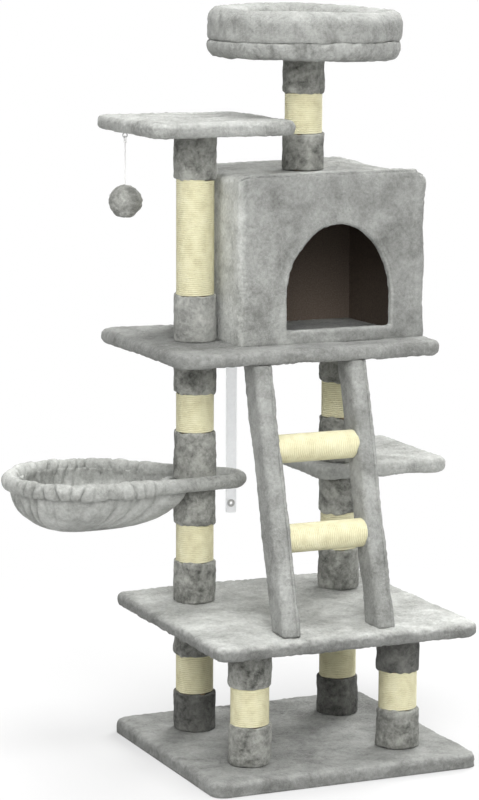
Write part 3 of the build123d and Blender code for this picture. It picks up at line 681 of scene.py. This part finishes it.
def stringer_mesh(half, inward, seed):
    """A stringer's sleeve, upright about its middle, with a seam down its front near the right edge.

    Its lower part is drawn in towards the ladder's middle, which lies the way that inward says.
    """
    seam_inset = 0.0085
    seam = half[0] - seam_inset
    seam_room = 0.0034
    near_seam = seam + 0.001 * np.array([-2.6, -1.6, -0.8, 0.0, 0.8, 1.6, 2.6])
    xs = ticks(2 * half[0], 0.8 * STRINGER_CORNER, 0.003)
    xs = np.sort(np.concatenate([xs[np.abs(xs - seam) > seam_room], near_seam]))
    ys = ticks(2 * half[1], STRINGER_CORNER, 0.004)
    points, faces = box_shell(xs, ys, np.linspace(-half[2], half[2], STRINGER_ROWS))
    front = points[:, 1] < -half[1] + 0.004
    across = points[:, 0] - seam
    points = round_box(points, half, STRINGER_CORNER, STRINGER_RIM)

    groove_depth = 0.0034
    welt_height = 0.0012
    sideways = 0.0008
    waver = noise(points * UPRIGHT, 0.03, 44 + seed)
    groove = hump(across, 0.0011) * (0.75 + 0.25 * waver)
    welt = hump(across - 0.0036, 0.0022)
    beside_seam = 1 - smooth_step(np.abs(across) / 0.007)
    points[:, 0] += sideways * waver * beside_seam
    points[:, 1] += front * (groove_depth * groove - welt_height * welt)

    drawn_most = 0.0013
    lift = points[:, 2] / half[2]
    drawn_in = drawn_most * (1 - rises(lift, after=-0.1, over=0.8))
    points[:, 0] += inward * drawn_in
    points[:, 1] -= np.maximum(points[:, 1], 0.0) / half[1] * drawn_in
    return points, faces


def build_ladder():
    for seed, (side, inward) in enumerate((("left", 1.0), ("right", -1.0))):
        name = "ladder_" + side
        low, high = (np.array(v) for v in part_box(name + "_sleeve"))
        size = np.array([STRINGER_WIDTH, STRINGER_DEPTH, high[2] - low[2]])
        lean = (high - low - size)[:2] / size[2]
        points, faces = stringer_mesh(size / 2, inward, seed)
        points[:, :2] += lean * points[:, 2:]
        points += (low + high) / 2
        obj = grey_piece(name, "ladder", points, faces, "tree", name + "_sleeve")
        add_pile(obj, 40 + seed, broad_size=0.035, fine=0.0009)
    low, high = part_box("ladder_rungs")
    sway = (high.x - low.x) - RUNG_SPAN
    lower_rung = (low.x, low.y + RUNG_RADIUS, low.z + RUNG_RADIUS)
    upper_rung = (low.x + sway, high.y - RUNG_RADIUS, high.z - RUNG_RADIUS)
    ropes = []
    for x, y, z in (lower_rung, upper_rung):
        points, faces = rope_mesh(RUNG_RADIUS + RUNG_ROPE, x, x + RUNG_SPAN, tuck=RUNG_TUCK)
        ropes.append((np.stack([points[:, 2], points[:, 1] + y, points[:, 0] + z], axis=1), faces))
    piece("ladder_rung_rope", *joined(ropes), SISAL, "tree", "sisal_rope", "ladder_rung_sisal")


# Condo walls and roof, sewn together as one soft cover with a seam along the roof's front edge
ROOF_PUFF = 0.0042
ROOF_SINK = 0.0025


def door_gap(x, z):
    """How far a place on the condo's front lies outside the doorway's arch."""
    across = np.abs(x - DOOR_X)
    above = np.maximum(z - DOOR_STRAIGHT, 0.0)
    level = np.hypot(across / DOOR_HALF_WIDTH, above / DOOR_RISE)
    size = np.hypot(across, above) / np.maximum(level, 0.01)
    return (level - 1.0) * size


def round_perch(points):
    """Each point's angle round the perch post's axis, and its distance from that axis."""
    x = points[:, 0] - PERCH_X
    y = points[:, 1] - PERCH_Y
    return np.arctan2(y, x), np.hypot(x, y)


def shade_condo(material):
    """Paints shade along the seam under the condo's roof, and darkens its front upwards and to the right.
    """
    tree = material.node_tree
    shader = tree.nodes["Principled BSDF"]
    colour = shader.inputs["Base Color"].links[0].from_socket
    low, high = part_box("condo_wall_cover")
    x, y, z = split_coordinate(tree, "Object")

    front_shade = 0.27
    along = ranged(tree, x, low.x, high.x, 0.0, 1.0)
    upward = ranged(tree, z, low.z, high.z, 0.0, 0.5)
    on_front = ranged(tree, y, low.y + 0.016, low.y + 0.005, 0.0, 1.0)
    darker = ranged(tree, maths(tree, "ADD", along, upward), 0.30, 0.66, 0.0, front_shade)
    darker = maths(tree, "MULTIPLY", darker, on_front)

    # Painted shadow in the seam's groove along the roof's front edge
    seam_painted_shade = 0.52
    wander = 0.0022
    behind = maths(tree, "SUBTRACT", y, low.y)
    under = maths(tree, "SUBTRACT", ROOF_TOP + ROOF_PUFF, z)
    cloud = noise_node(tree, 45.0, 3.0, 0.6).outputs["Fac"]
    waver = ranged(tree, cloud, 0.3, 0.7, -wander, wander)
    off_seam = maths(tree, "SUBTRACT", maths(tree, "SUBTRACT", behind, under), waver)
    seam = ranged(tree, maths(tree, "ABSOLUTE", off_seam, 0.0), 0.0008, 0.0030, seam_painted_shade, 0.0)
    at_edge = ranged(tree, maths(tree, "ADD", behind, under), 0.020, 0.026, 1.0, 0.0)
    seam = maths(tree, "MULTIPLY", seam, at_edge)
    shade = maths(tree, "SUBTRACT", 1.0, maths(tree, "MAXIMUM", darker, seam))
    tree.links.new(scaled(tree, colour, shade), shader.inputs["Base Color"])


def condo_mesh():
    """The wall and roof covers as one mesh of even faces, each reaching a little into what is below it."""
    lower_by = 0.0025
    shell = bmesh.new()
    start = 0
    for node in ("condo_wall_cover", "condo_roof_cover"):
        shell.from_mesh(frame["nodes"][node].data)
        shell.verts.ensure_lookup_table()
        low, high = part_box(node)
        stretch = 1 + lower_by / (high.z - low.z)
        for vertex in shell.verts[start:]:
            vertex.co.z = high.z - (high.z - vertex.co.z) * stretch
        start = len(shell.verts)
    mesh = bpy.data.meshes.new("condo_work")
    shell.to_mesh(mesh)
    shell.free()
    work = bpy.data.objects.new("condo_work", mesh)
    scene.collection.objects.link(work)
    remesh = work.modifiers.new("even", "REMESH")
    remesh.mode = "VOXEL"
    remesh.voxel_size = 0.0028
    relax = work.modifiers.new("relax", "SMOOTH")
    relax.factor = 0.5
    relax.iterations = 6
    even = bpy.data.meshes.new_from_object(work.evaluated_get(bpy.context.evaluated_depsgraph_get()))
    points = points_of(even)
    faces = [tuple(polygon.vertices) for polygon in even.polygons]
    bpy.data.objects.remove(work)
    return points, faces


def shape_condo(points, normals):
    """Gives the condo's cover its sewn edges, rolled doorway, padded roof and soft right edge."""
    low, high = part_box("condo_wall_cover")
    behind_front = points[:, 1] - low.y
    under = ROOF_TOP - points[:, 2]

    # Welts up the front's edges, the seam under the roof and the doorway's rolled edge
    wall_edge = 0.015
    roof_edge = 0.022
    welt_height = 0.0008
    ridge_height = 0.0022
    groove_depth = 0.0036
    roll_height = 0.0020
    inside_wall = np.minimum(high.x - points[:, 0], points[:, 0] - low.x)
    upright = (behind_front < wall_edge) & (inside_wall < wall_edge) & (under > 0.02)
    welt = upright * hump(behind_front - inside_wall, 0.0032)
    roof_front = (behind_front < roof_edge) & (under < roof_edge)
    off_edge = behind_front - under
    ridge = roof_front * hump(off_edge, 0.009)
    groove = roof_front * hump(off_edge - 0.0005, 0.0022)
    past_door = door_gap(points[:, 0], points[:, 2] - MIDDLE_TOP)
    rolled = (behind_front < 0.006) * hump(past_door - 0.004, 0.0042)
    swell = welt_height * welt + ridge_height * ridge - groove_depth * groove + roll_height * rolled
    points = points + normals * swell[:, None]

    # Padding that lifts the roof at the front and the back, more to the right, and sinks at the right edge
    from_right = high.x - points[:, 0]
    _, from_post = round_perch(points)
    to_right = np.clip((points[:, 0] - low.x) / (high.x - low.x), 0.0, 1.0)
    at_front = falls(behind_front, before=0.045, over=0.03) * (0.8 + 0.7 * to_right)
    at_back = rises(behind_front, after=0.15, over=0.08) * rises(from_right, after=0.012, over=0.03)
    at_back *= 0.2 + 1.7 * to_right
    puffed = np.maximum(at_front, at_back) * rises(from_post, after=0.045, over=0.03)
    sunk = falls(from_right, before=0.05, over=0.03) * rises(behind_front, after=0.05, over=0.06)
    on_roof = falls(under, before=0.03, over=0.02)
    points[:, 2] += on_roof * (ROOF_PUFF * puffed - ROOF_SINK * sunk)

    # The right wall lies back below the roof, and the roof swells past it
    wall_back = 0.0020
    roof_past = 0.0024
    under = ROOF_TOP - points[:, 2]
    right = falls(from_right, before=0.03, over=0.024)
    points[:, 0] -= wall_back * right * rises(under, after=0.027, over=0.012)
    points[:, 0] += roof_past * right * hump(under - 0.016, 0.012)

    # The roof's right edge is rounded over, and its front corner with it
    soft = 0.021
    front_soft = 0.016
    edge_past = 0.0020
    past = points - np.array([high.x + edge_past - soft, 0.0, ROOF_TOP - soft])
    past[:, 1] = low.y + front_soft - points[:, 1]
    past = np.maximum(past, 0.0) * np.array([1.0, soft / front_soft, 1.0])
    far = np.linalg.norm(past, axis=1)
    at_edge = (past[:, 0] > 0) & (past[:, 2] > 0) & (far > soft)
    pull = np.where(at_edge, 1 - soft / np.maximum(far, soft), 0.0)
    points[:, 0] -= pull * past[:, 0]
    points[:, 2] -= pull * past[:, 2]
    return points


def build_condo():
    shade_condo(GREY["condo"])
    points, faces = condo_mesh()
    obj = grey_piece("condo", "condo", points, faces, "tree", "condo_wall_cover", "condo_roof_cover")
    set_points(obj.data, shape_condo(points, normals_of(obj.data)))
    add_pile(obj, 60, broad=0.0018, broad_size=0.06, fine=0.0009)


# Perch
bolster_low, bolster_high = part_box("perch_bolster")
BOLSTER_RADIUS = (bolster_high.x - bolster_low.x) / 2
# Dents in the bolster's outside: degrees round the perch, and depth
BOLSTER_DENTS = ((-163.0, 0.0045), (-152.0, 0.0035), (-176.0, 0.0030))


def puff(obj, pressure, frames, cap):
    """Inflates a closed mesh as cloth, moving no point further than cap."""
    before = points_of(obj.data)
    cloth = obj.modifiers.new("cloth", "CLOTH")
    cloth.settings.quality = 6
    cloth.settings.mass = 0.25
    cloth.settings.tension_stiffness = 12
    cloth.settings.compression_stiffness = 12
    cloth.settings.shear_stiffness = 4
    cloth.settings.bending_stiffness = 0.4
    cloth.settings.use_pressure = True
    cloth.settings.uniform_pressure_force = pressure
    cloth.settings.effector_weights.gravity = 0
    cloth.point_cache.frame_start = 1
    cloth.point_cache.frame_end = frames
    for number in range(1, frames + 1):
        scene.frame_set(number)
    after = points_of(obj.evaluated_get(bpy.context.evaluated_depsgraph_get()).data)
    obj.modifiers.remove(cloth)
    scene.frame_set(1)
    move = after - before
    far = np.linalg.norm(move, axis=1)
    move *= np.minimum(1, cap / np.maximum(far, 1e-9))[:, None]
    set_points(obj.data, before + move)


def seam_waver(points):
    """How far the perch's seam wanders up and down, the same for the pieces above and below it."""
    return 0.0022 * noise(points * LEVEL, 0.034, 77)


def build_bolster():
    low = bolster_low.z
    radius = BOLSTER_RADIUS
    inner = radius - 0.056
    tall = bolster_high.z - low - 0.0015
    fat = 0.024
    crown = tall - 0.027
    outline = [(inner + 0.008, 0.0), (radius - 0.0026, -0.0016)]
    outline += arc((radius - 0.0050, 0.0040), 0.0046, -60, 0, 4)
    outline += arc((radius - fat, crown), fat, 0, 75, 7)
    outline += arc((inner + 0.025, crown), fat, 105, 180, 7)
    outline += arc((inner + 0.009, 0.008), 0.007, 180, 230, 4)
    profile, _ = even_ring(outline, 0.005)
    points, faces = lathe(profile, 200, (PERCH_X, PERCH_Y, low))
    bolster = grey_piece("perch_bolster", "perch", points, faces, "tree", "perch_bolster")
    puff(bolster, pressure=3.0, frames=16, cap=0.004)

    points = points_of(bolster.data)
    around, away = round_perch(points)
    lift = (points[:, 2] - low) / tall
    high_side = math.radians(110.0)
    tilt = 0.0055
    sunk = 0.0015
    points[:, 2] += (tilt * np.cos(around - high_side) - sunk) * lift
    outer = away > radius - 0.02
    bulge = np.sin(math.pi * np.clip(lift, 0.0, 1.0))
    for place, depth in BOLSTER_DENTS:
        off = wrapped(around - math.radians(place))
        dent = depth * outer * hump(off * radius, 0.005) * bulge
        points[:, 0] -= dent * np.cos(around)
        points[:, 1] -= dent * np.sin(around)
    points[:, 2] += seam_waver(points) * (1 - smooth_step(lift / 0.5))
    set_points(bolster.data, points)
    add_pile(bolster, 70, broad=0.0030, broad_size=0.06, fine=0.0011)


def build_perch_cover():
    low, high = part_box("perch_cover")
    bottom, top = low.z, high.z
    flat = bottom + 0.010
    inside = flat + 0.0045
    seam = top - 0.0003
    bore = 0.0052
    rim = BOLSTER_RADIUS - 0.0005
    outline = [(bore, inside), (bore, flat), (0.085, flat)]
    outline += [(0.105, flat - 0.003), (0.12, flat - 0.007), (0.134, bottom), (0.146, bottom + 0.0008)]
    outline += [(rim - 0.009, bottom + 0.004), (rim - 0.003, bottom + 0.010), (rim, bottom + 0.017)]
    outline += [(rim - 0.0002, top - 0.004), (rim - 0.0014, seam), (0.156, seam), (0.1546, inside)]
    profile, _ = even_ring(outline, 0.0038)
    points, faces = lathe(profile, 280, (PERCH_X, PERCH_Y, 0.0))
    around, away = round_perch(points)
    away = away / rim
    low_side = math.radians(-24.0)
    droop = 0.004
    sag = droop * rises(away, after=0.5, over=0.3) * np.maximum(np.cos(around - low_side), 0.0)
    points[:, 2] -= sag * (top - points[:, 2]) / (top - bottom)
    rise = np.clip((points[:, 2] - bottom) / (top - bottom), 0.0, 1.0)
    points[:, 2] += seam_waver(points) * smooth_step(rise) * rises(away, after=0.95, over=0.03)
    cover = grey_piece("perch_cover", "perch_lip", points, faces, "tree", "perch_cover")
    add_pile(cover, 72, broad=0.0016, broad_size=0.022, fine=0.0015, fine_size=0.009)


def build_cushion():
    low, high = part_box("perch_cushion")
    radius = (high.x - low.x) / 2 - 0.001
    under = 0.0005
    middle = 0.001
    round_edge = radius - 0.007
    outline = [(middle, under), (radius - 0.008, under)]
    outline += arc((round_edge, 0.0075), 0.0065, -80, 80, 8)
    shoulder = 0.0135
    crown = high.z - low.z - 0.0150
    for r in np.linspace(radius - 0.012, middle, 24):
        outline.append((r, shoulder + crown * (1 - (r / round_edge) ** 2)))
    points, faces = lathe(outline, 120, (PERCH_X, PERCH_Y, low.z), closed=False)
    cushion = grey_piece("perch_cushion", "perch", points, faces, "tree", "perch_cushion")
    add_pile(cushion, 74, broad=0.0016, fine=0.0005, floor=low.z + 0.001)


# Hammock, drawn with its swivel at the origin and its bowl towards +X
BOWL_RADIUS = 0.128
BOWL_DISTANCE = 0.193
BOWL_DEPTH = 0.084
NECK_RADIUS = 0.038
NECK_DISTANCE = 0.040
SLEEVE_RADIUS = 0.0122
SLING_END = 0.0455
SLING_SIDE_END = 0.010
SLING_TOP = -0.0052
SLING_ROWS = 34
SLING_COLUMNS = 540
HUB_Z = 0.4705
HAMMOCK_TURN = math.radians(160.0)
TANGENT_X = -(BOWL_RADIUS - NECK_RADIUS) / (BOWL_DISTANCE + NECK_DISTANCE)
TANGENT = math.acos(TANGENT_X)
# Deep folds of the sling: degrees round the bowl, depth, and degrees of slant from rim to bottom
SLING_FOLDS = (
    (3.0, 0.010, 5.0),
    (17.0, 0.015, 1.0),
    (28.0, 0.008, 4.0),
    (40.0, 0.015, -1.0),
    (49.0, 0.010, -4.0),
    (63.0, 0.005, 6.0),
    (96.0, 0.003, -8.0),
    (124.0, 0.006, -10.0),
    (138.0, 0.010, -6.0),
    (151.0, 0.008, -4.0),
    (-22.0, 0.011, -12.0),
    (-48.0, 0.008, -10.0),
    (-85.0, 0.005, 8.0),
    (-130.0, 0.006, 14.0),
)


def hammock_place(points):
    across = math.cos(HAMMOCK_TURN)
    along = math.sin(HAMMOCK_TURN)
    x = points[:, 0] * across - points[:, 1] * along - COLUMN_X
    y = points[:, 0] * along + points[:, 1] * across + COLUMN_Y
    return np.stack([x, y, points[:, 2] + HUB_Z], axis=1)


def hoop_line(step):
    """Points round the hoop's middle line, evenly spaced, with the way out of the loop at each."""
    turn = math.degrees(TANGENT)
    bowl = arc((BOWL_DISTANCE, 0.0), BOWL_RADIUS, -turn, turn, 400)
    neck = arc((-NECK_DISTANCE, 0.0), NECK_RADIUS, turn, 360 - turn, 200)
    points, at = even_ring(bowl + neck, step)
    ways = np.roll(points, -1, axis=0) - np.roll(points, 1, axis=0)
    ways /= np.linalg.norm(ways, axis=1)[:, None]
    return points, np.stack([ways[:, 1], -ways[:, 0]], axis=1), at


def creases(at, spacing, width, seed):
    """Up to 1 at each crease of a gathered edge and 0 between, uneven in place and depth."""
    shift = 0.42 * spacing * noise(on_line(at), spacing * 1.9, seed)
    place = (at + shift) / spacing
    number = np.round(place)
    off = np.abs(place - number) * spacing
    depth = 0.62 + 0.38 * lattice(number.astype(np.int64), 0, 0, seed)
    return depth * hump(off, width)


def rim_reach(angle):
    """How far the hoop reaches from the bowl's middle, with a notch round the post."""
    turn = np.abs(angle)
    past = np.maximum(turn - TANGENT, 0.0)
    reach = BOWL_RADIUS / np.cos(past)
    towards_post = turn > math.pi / 2
    end = (BOWL_DISTANCE - SLING_SIDE_END) / np.maximum(-np.cos(turn), 0.01)
    reach = np.where(towards_post, np.minimum(reach, end), reach)
    beside = BOWL_DISTANCE * np.sin(turn)
    notch = -BOWL_DISTANCE * np.cos(turn) - np.sqrt(np.maximum(SLING_END**2 - beside**2, 0.0))
    return np.where(towards_post & (beside < SLING_END), notch, reach)


def build_rim():
    line, out, at = hoop_line(0.0016)
    sides = 26
    spacing = 0.0205
    fold_depth = 0.0095
    fold_slant = 0.0060
    hem_lift = 0.0040
    unevenness = 0.0019
    full = rises(line[:, 0], after=0.045, over=0.06)
    slant = fold_slant * noise(on_line(at), 0.045, 14)
    height = SLEEVE_RADIUS + 0.0022 * full
    width = SLEEVE_RADIUS + 0.0006 * full
    puffed = unevenness * full * noise(on_line(at), 0.017, 8)
    rings = []
    for s in range(sides):
        turn = 2 * math.pi * s / sides
        level = math.sin(turn)
        fold = creases(at + slant * level, spacing, 0.0023, 3) * full
        depth = fold_depth * fold * (0.45 + 0.55 * abs(math.cos(turn)))
        hem = hem_lift * fold * max(0.0, -level)
        across = (width + puffed - depth) * math.cos(turn)
        rise = (height + puffed - 0.35 * depth) * level + hem
        rings.append(np.concatenate([line + out * across[:, None], rise[:, None]], axis=1))
    points = hammock_place(np.stack(rings, axis=1).reshape(-1, 3))
    faces = grid_faces(len(line), sides, close_rows=True, close_columns=True)
    replaced = ("hammock_rim", "hammock_neck_sleeve")
    rim = grey_piece("hammock_rim", "hammock", points, faces, "hammock", *replaced)
    add_pile(rim, 80, broad=0.0008, broad_size=0.02, fine=0.0005)


def sling_faces():
    """Quads over the sling's outside and inside, a band between them at the rim, and two bottoms."""
    half = SLING_ROWS * SLING_COLUMNS
    last = half - SLING_COLUMNS
    faces = grid_faces(SLING_ROWS, SLING_COLUMNS, close_columns=True)
    faces += grid_faces(SLING_ROWS, SLING_COLUMNS, close_columns=True, start=half)
    for c in range(SLING_COLUMNS):
        beside = (c + 1) % SLING_COLUMNS
        faces.append((c, beside, half + beside, half + c))
    faces.append(tuple(last + c for c in range(SLING_COLUMNS)))
    faces.append(tuple(half + last + c for c in range(SLING_COLUMNS)))
    return faces


def build_sling():
    angle = np.arange(SLING_COLUMNS) * 2 * math.pi / SLING_COLUMNS
    reach = rim_reach(wrapped(angle))
    smoothings = 22
    for _ in range(smoothings):
        reach = (np.roll(reach, 1) + 2 * reach + np.roll(reach, -1)) / 4
    around = angle * BOWL_RADIUS
    pleats = 36
    puffs_inside = 30
    pleat_spacing = 2 * math.pi * BOWL_RADIUS / pleats
    puff_spacing = 2 * math.pi * BOWL_RADIUS / puffs_inside
    inside_rim = 0.985
    gather_depth = 0.0110
    cloth = 0.003
    puff_depth = 0.0080
    pleat = creases(around, pleat_spacing, 0.0042, 11)
    between = creases(around + 0.3 * pleat_spacing, puff_spacing, 0.0028, 12)
    levels = []
    puffs = []
    for turn in np.radians(np.linspace(0, 87, SLING_ROWS)):
        share = math.sin(turn)
        size = inside_rim * math.cos(turn)
        gather = gather_depth * math.exp(-share / 0.2) * (0.3 + 0.7 * smooth_step(share / 0.15)) * pleat
        hang = 0.0
        for place, depth, slant in SLING_FOLDS:
            off = wrapped(angle - math.radians(place + slant * share))
            hang = hang + depth * hump(off * BOWL_RADIUS, 0.0050)
        hang = hang * math.sin(math.pi * min(1.0, 0.03 + share * 0.97))
        r = reach * size - gather - hang
        x = BOWL_DISTANCE + 0.12 * BOWL_RADIUS * share + r * np.cos(angle)
        z = np.full(SLING_COLUMNS, SLING_TOP - BOWL_DEPTH * share)
        levels.append(np.stack([x, r * np.sin(angle), z], axis=1))
        puffs.append(cloth + puff_depth * math.exp(-share / 0.22) * (1 - between))
    outside = np.concatenate(levels)
    middle = np.array([BOWL_DISTANCE + 0.05 * BOWL_RADIUS, 0.0, 0.05])
    inward = middle - outside
    inside = outside + np.concatenate(puffs)[:, None] * inward / np.linalg.norm(inward, axis=1)[:, None]
    points = hammock_place(np.concatenate([outside, inside]))
    sling = grey_piece("hammock_sling", "hammock", points, sling_faces(), "hammock", "hammock_sling")
    add_pile(sling, 82, broad=0.0012, fine=0.0004)


# Toy
def build_cord():
    low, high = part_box("toy_cord")
    x = (low.x + high.x) / 2
    y = (low.y + high.y) / 2
    curve = bpy.data.curves.new("toy_cord_line", "CURVE")
    curve.dimensions = "3D"
    spline = curve.splines.new("NURBS")
    straight = 0.025
    route = [(x, y, high.z), (x, y, high.z - straight), (x, y, low.z + straight), (x, y, low.z)]
    spline.points.add(len(route) - 1)
    for point, place in zip(spline.points, route):
        point.co = (*place, 1.0)
    spline.order_u = 3
    spline.use_endpoint_u = True
    curve.bevel_depth = 0.0011
    curve.bevel_resolution = 4
    cord = bpy.data.objects.new("toy_cord_line", curve)
    scene.collection.objects.link(cord)
    curve.materials.append(CORD)
    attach(cord, "toy")
    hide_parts("toy_cord")


def build_ball():
    low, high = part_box("toy_ball")
    radius = (high.x - low.x) / 2
    middle = np.array([(low.x + high.x) / 2, (low.y + high.y) / 2, low.z + radius])
    shell = bmesh.new()
    bmesh.ops.create_icosphere(shell, subdivisions=6, radius=radius)
    points = np.array([v.co for v in shell.verts]) + middle
    faces = [tuple(v.index for v in f.verts) for f in shell.faces]
    shell.free()
    ball = piece("toy_ball_plush", points, faces, BALL, "toy", "dark_plush", "toy_ball")
    add_pile(ball, 90, broad_size=0.018, fine=0.0013, fine_size=0.0045)


# Floor, sky and lamps
FLOOR_HALF = 12.0
FLOOR_GREY = (0.62, 0.62, 0.62, 1.0)
SKY_LIGHT = 0.33
SKY_SEEN = 0.67
LAMP_AIM = (0.0, 0.0, 0.9)
# Each lamp's name, place, size and power
LAMPS = (
    ("overhead", (-0.2, -0.3, 5.0), 2.4, 150.0),
    ("high_front", (-1.2, -3.9, 2.8), 2.4, 165.0),
    ("left", (-3.6, -1.1, 2.3), 2.2, 46.0),
    ("right_front", (2.9, -2.3, 2.4), 2.4, 34.0),
    ("back_right", (3.2, 2.6, 2.6), 2.4, 230.0),
)


def seen_rays(tree):
    """1 for rays from the camera, off gloss and through clear things, and 0 for the rest."""
    path = tree.nodes.new("ShaderNodeLightPath")
    seen = maths(tree, "MAXIMUM", path.outputs["Is Camera Ray"], path.outputs["Is Glossy Ray"])
    return maths(tree, "MAXIMUM", seen, path.outputs["Is Transmission Ray"])


def build_floor():
    """A grey floor that looks whiter the further it is from the object."""
    corners = [(-FLOOR_HALF, -FLOOR_HALF, 0.0), (FLOOR_HALF, -FLOOR_HALF, 0.0)]
    corners += [(FLOOR_HALF, FLOOR_HALF, 0.0), (-FLOOR_HALF, FLOOR_HALF, 0.0)]
    mesh = bpy.data.meshes.new("floor")
    mesh.from_pydata(corners, [], [(0, 1, 2, 3)])
    floor = bpy.data.objects.new("floor", mesh)
    scene.collection.objects.link(floor)
    material, tree, shader = new_material("floor")
    set_inputs(shader, Base_Color=FLOOR_GREY, Roughness=0.9, Specular_IOR_Level=0.0)
    white = tree.nodes.new("ShaderNodeEmission")
    mix = tree.nodes.new("ShaderNodeMixShader")
    place = tree.nodes.new("ShaderNodeTexCoord")
    reach = tree.nodes.new("ShaderNodeVectorMath")
    reach.operation = "LENGTH"
    tree.links.new(place.outputs["Object"], reach.inputs[0])
    fade = ranged(tree, reach.outputs["Value"], 0.35, 1.5, 0.5, 1.0)
    tree.links.new(maths(tree, "MULTIPLY", seen_rays(tree), fade), mix.inputs["Fac"])
    tree.links.new(shader.outputs["BSDF"], mix.inputs[1])
    tree.links.new(white.outputs["Emission"], mix.inputs[2])
    tree.links.new(mix.outputs["Shader"], tree.nodes["Material Output"].inputs["Surface"])
    mesh.materials.append(material)


def build_sky():
    world = bpy.data.worlds.new("studio")
    world.use_nodes = True
    scene.world = world
    tree = world.node_tree
    background = tree.nodes["Background"]
    strength = maths(tree, "ADD", maths(tree, "MULTIPLY", seen_rays(tree), SKY_SEEN), SKY_LIGHT)
    set_inputs(background, Color=(1.0, 1.0, 1.0, 1.0))
    tree.links.new(strength, background.inputs["Strength"])


def add_lamp(name, place, size, power):
    light = bpy.data.lights.new(name, "AREA")
    light.shape = "SQUARE"
    light.size = size
    light.energy = power
    obj = bpy.data.objects.new(name, light)
    scene.collection.objects.link(obj)
    back = np.array(place) - np.array(LAMP_AIM)
    back /= np.linalg.norm(back)
    side = np.cross((0.0, 1.0, 0.01), back)
    side /= np.linalg.norm(side)
    obj.matrix_world = axes_matrix(side, np.cross(back, side), back, place)


# Materials of the CAD nodes that stay in view
SLOT_LOOKS = {
    "fibreboard": BOARD,
    "card_tube": CARD,
    "steel": STEEL,
    "white_cord": CORD,
    "clear_strap": STRAP,
}


def dress_cad():
    for part in frame["record"]["subparts"]:
        if part["material_slot"] in SLOT_LOOKS:
            mesh = frame["nodes"][part["node"]].data
            mesh.materials.clear()
            mesh.materials.append(SLOT_LOOKS[part["material_slot"]])


place_camera()
build_floor()
build_sky()
for lamp in LAMPS:
    add_lamp(*lamp)
dress_cad()
for number, name in enumerate(("lower_platform", "step", "middle_platform", "lookout")):
    slab(name, 10 + 2 * number)
slab("base", 4, square_foot=True)
build_posts()
build_ladder()
build_condo()
build_bolster()
build_perch_cover()
build_cushion()
build_rim()
build_sling()
build_cord()
build_ball()

bpy.context.view_layer.update()
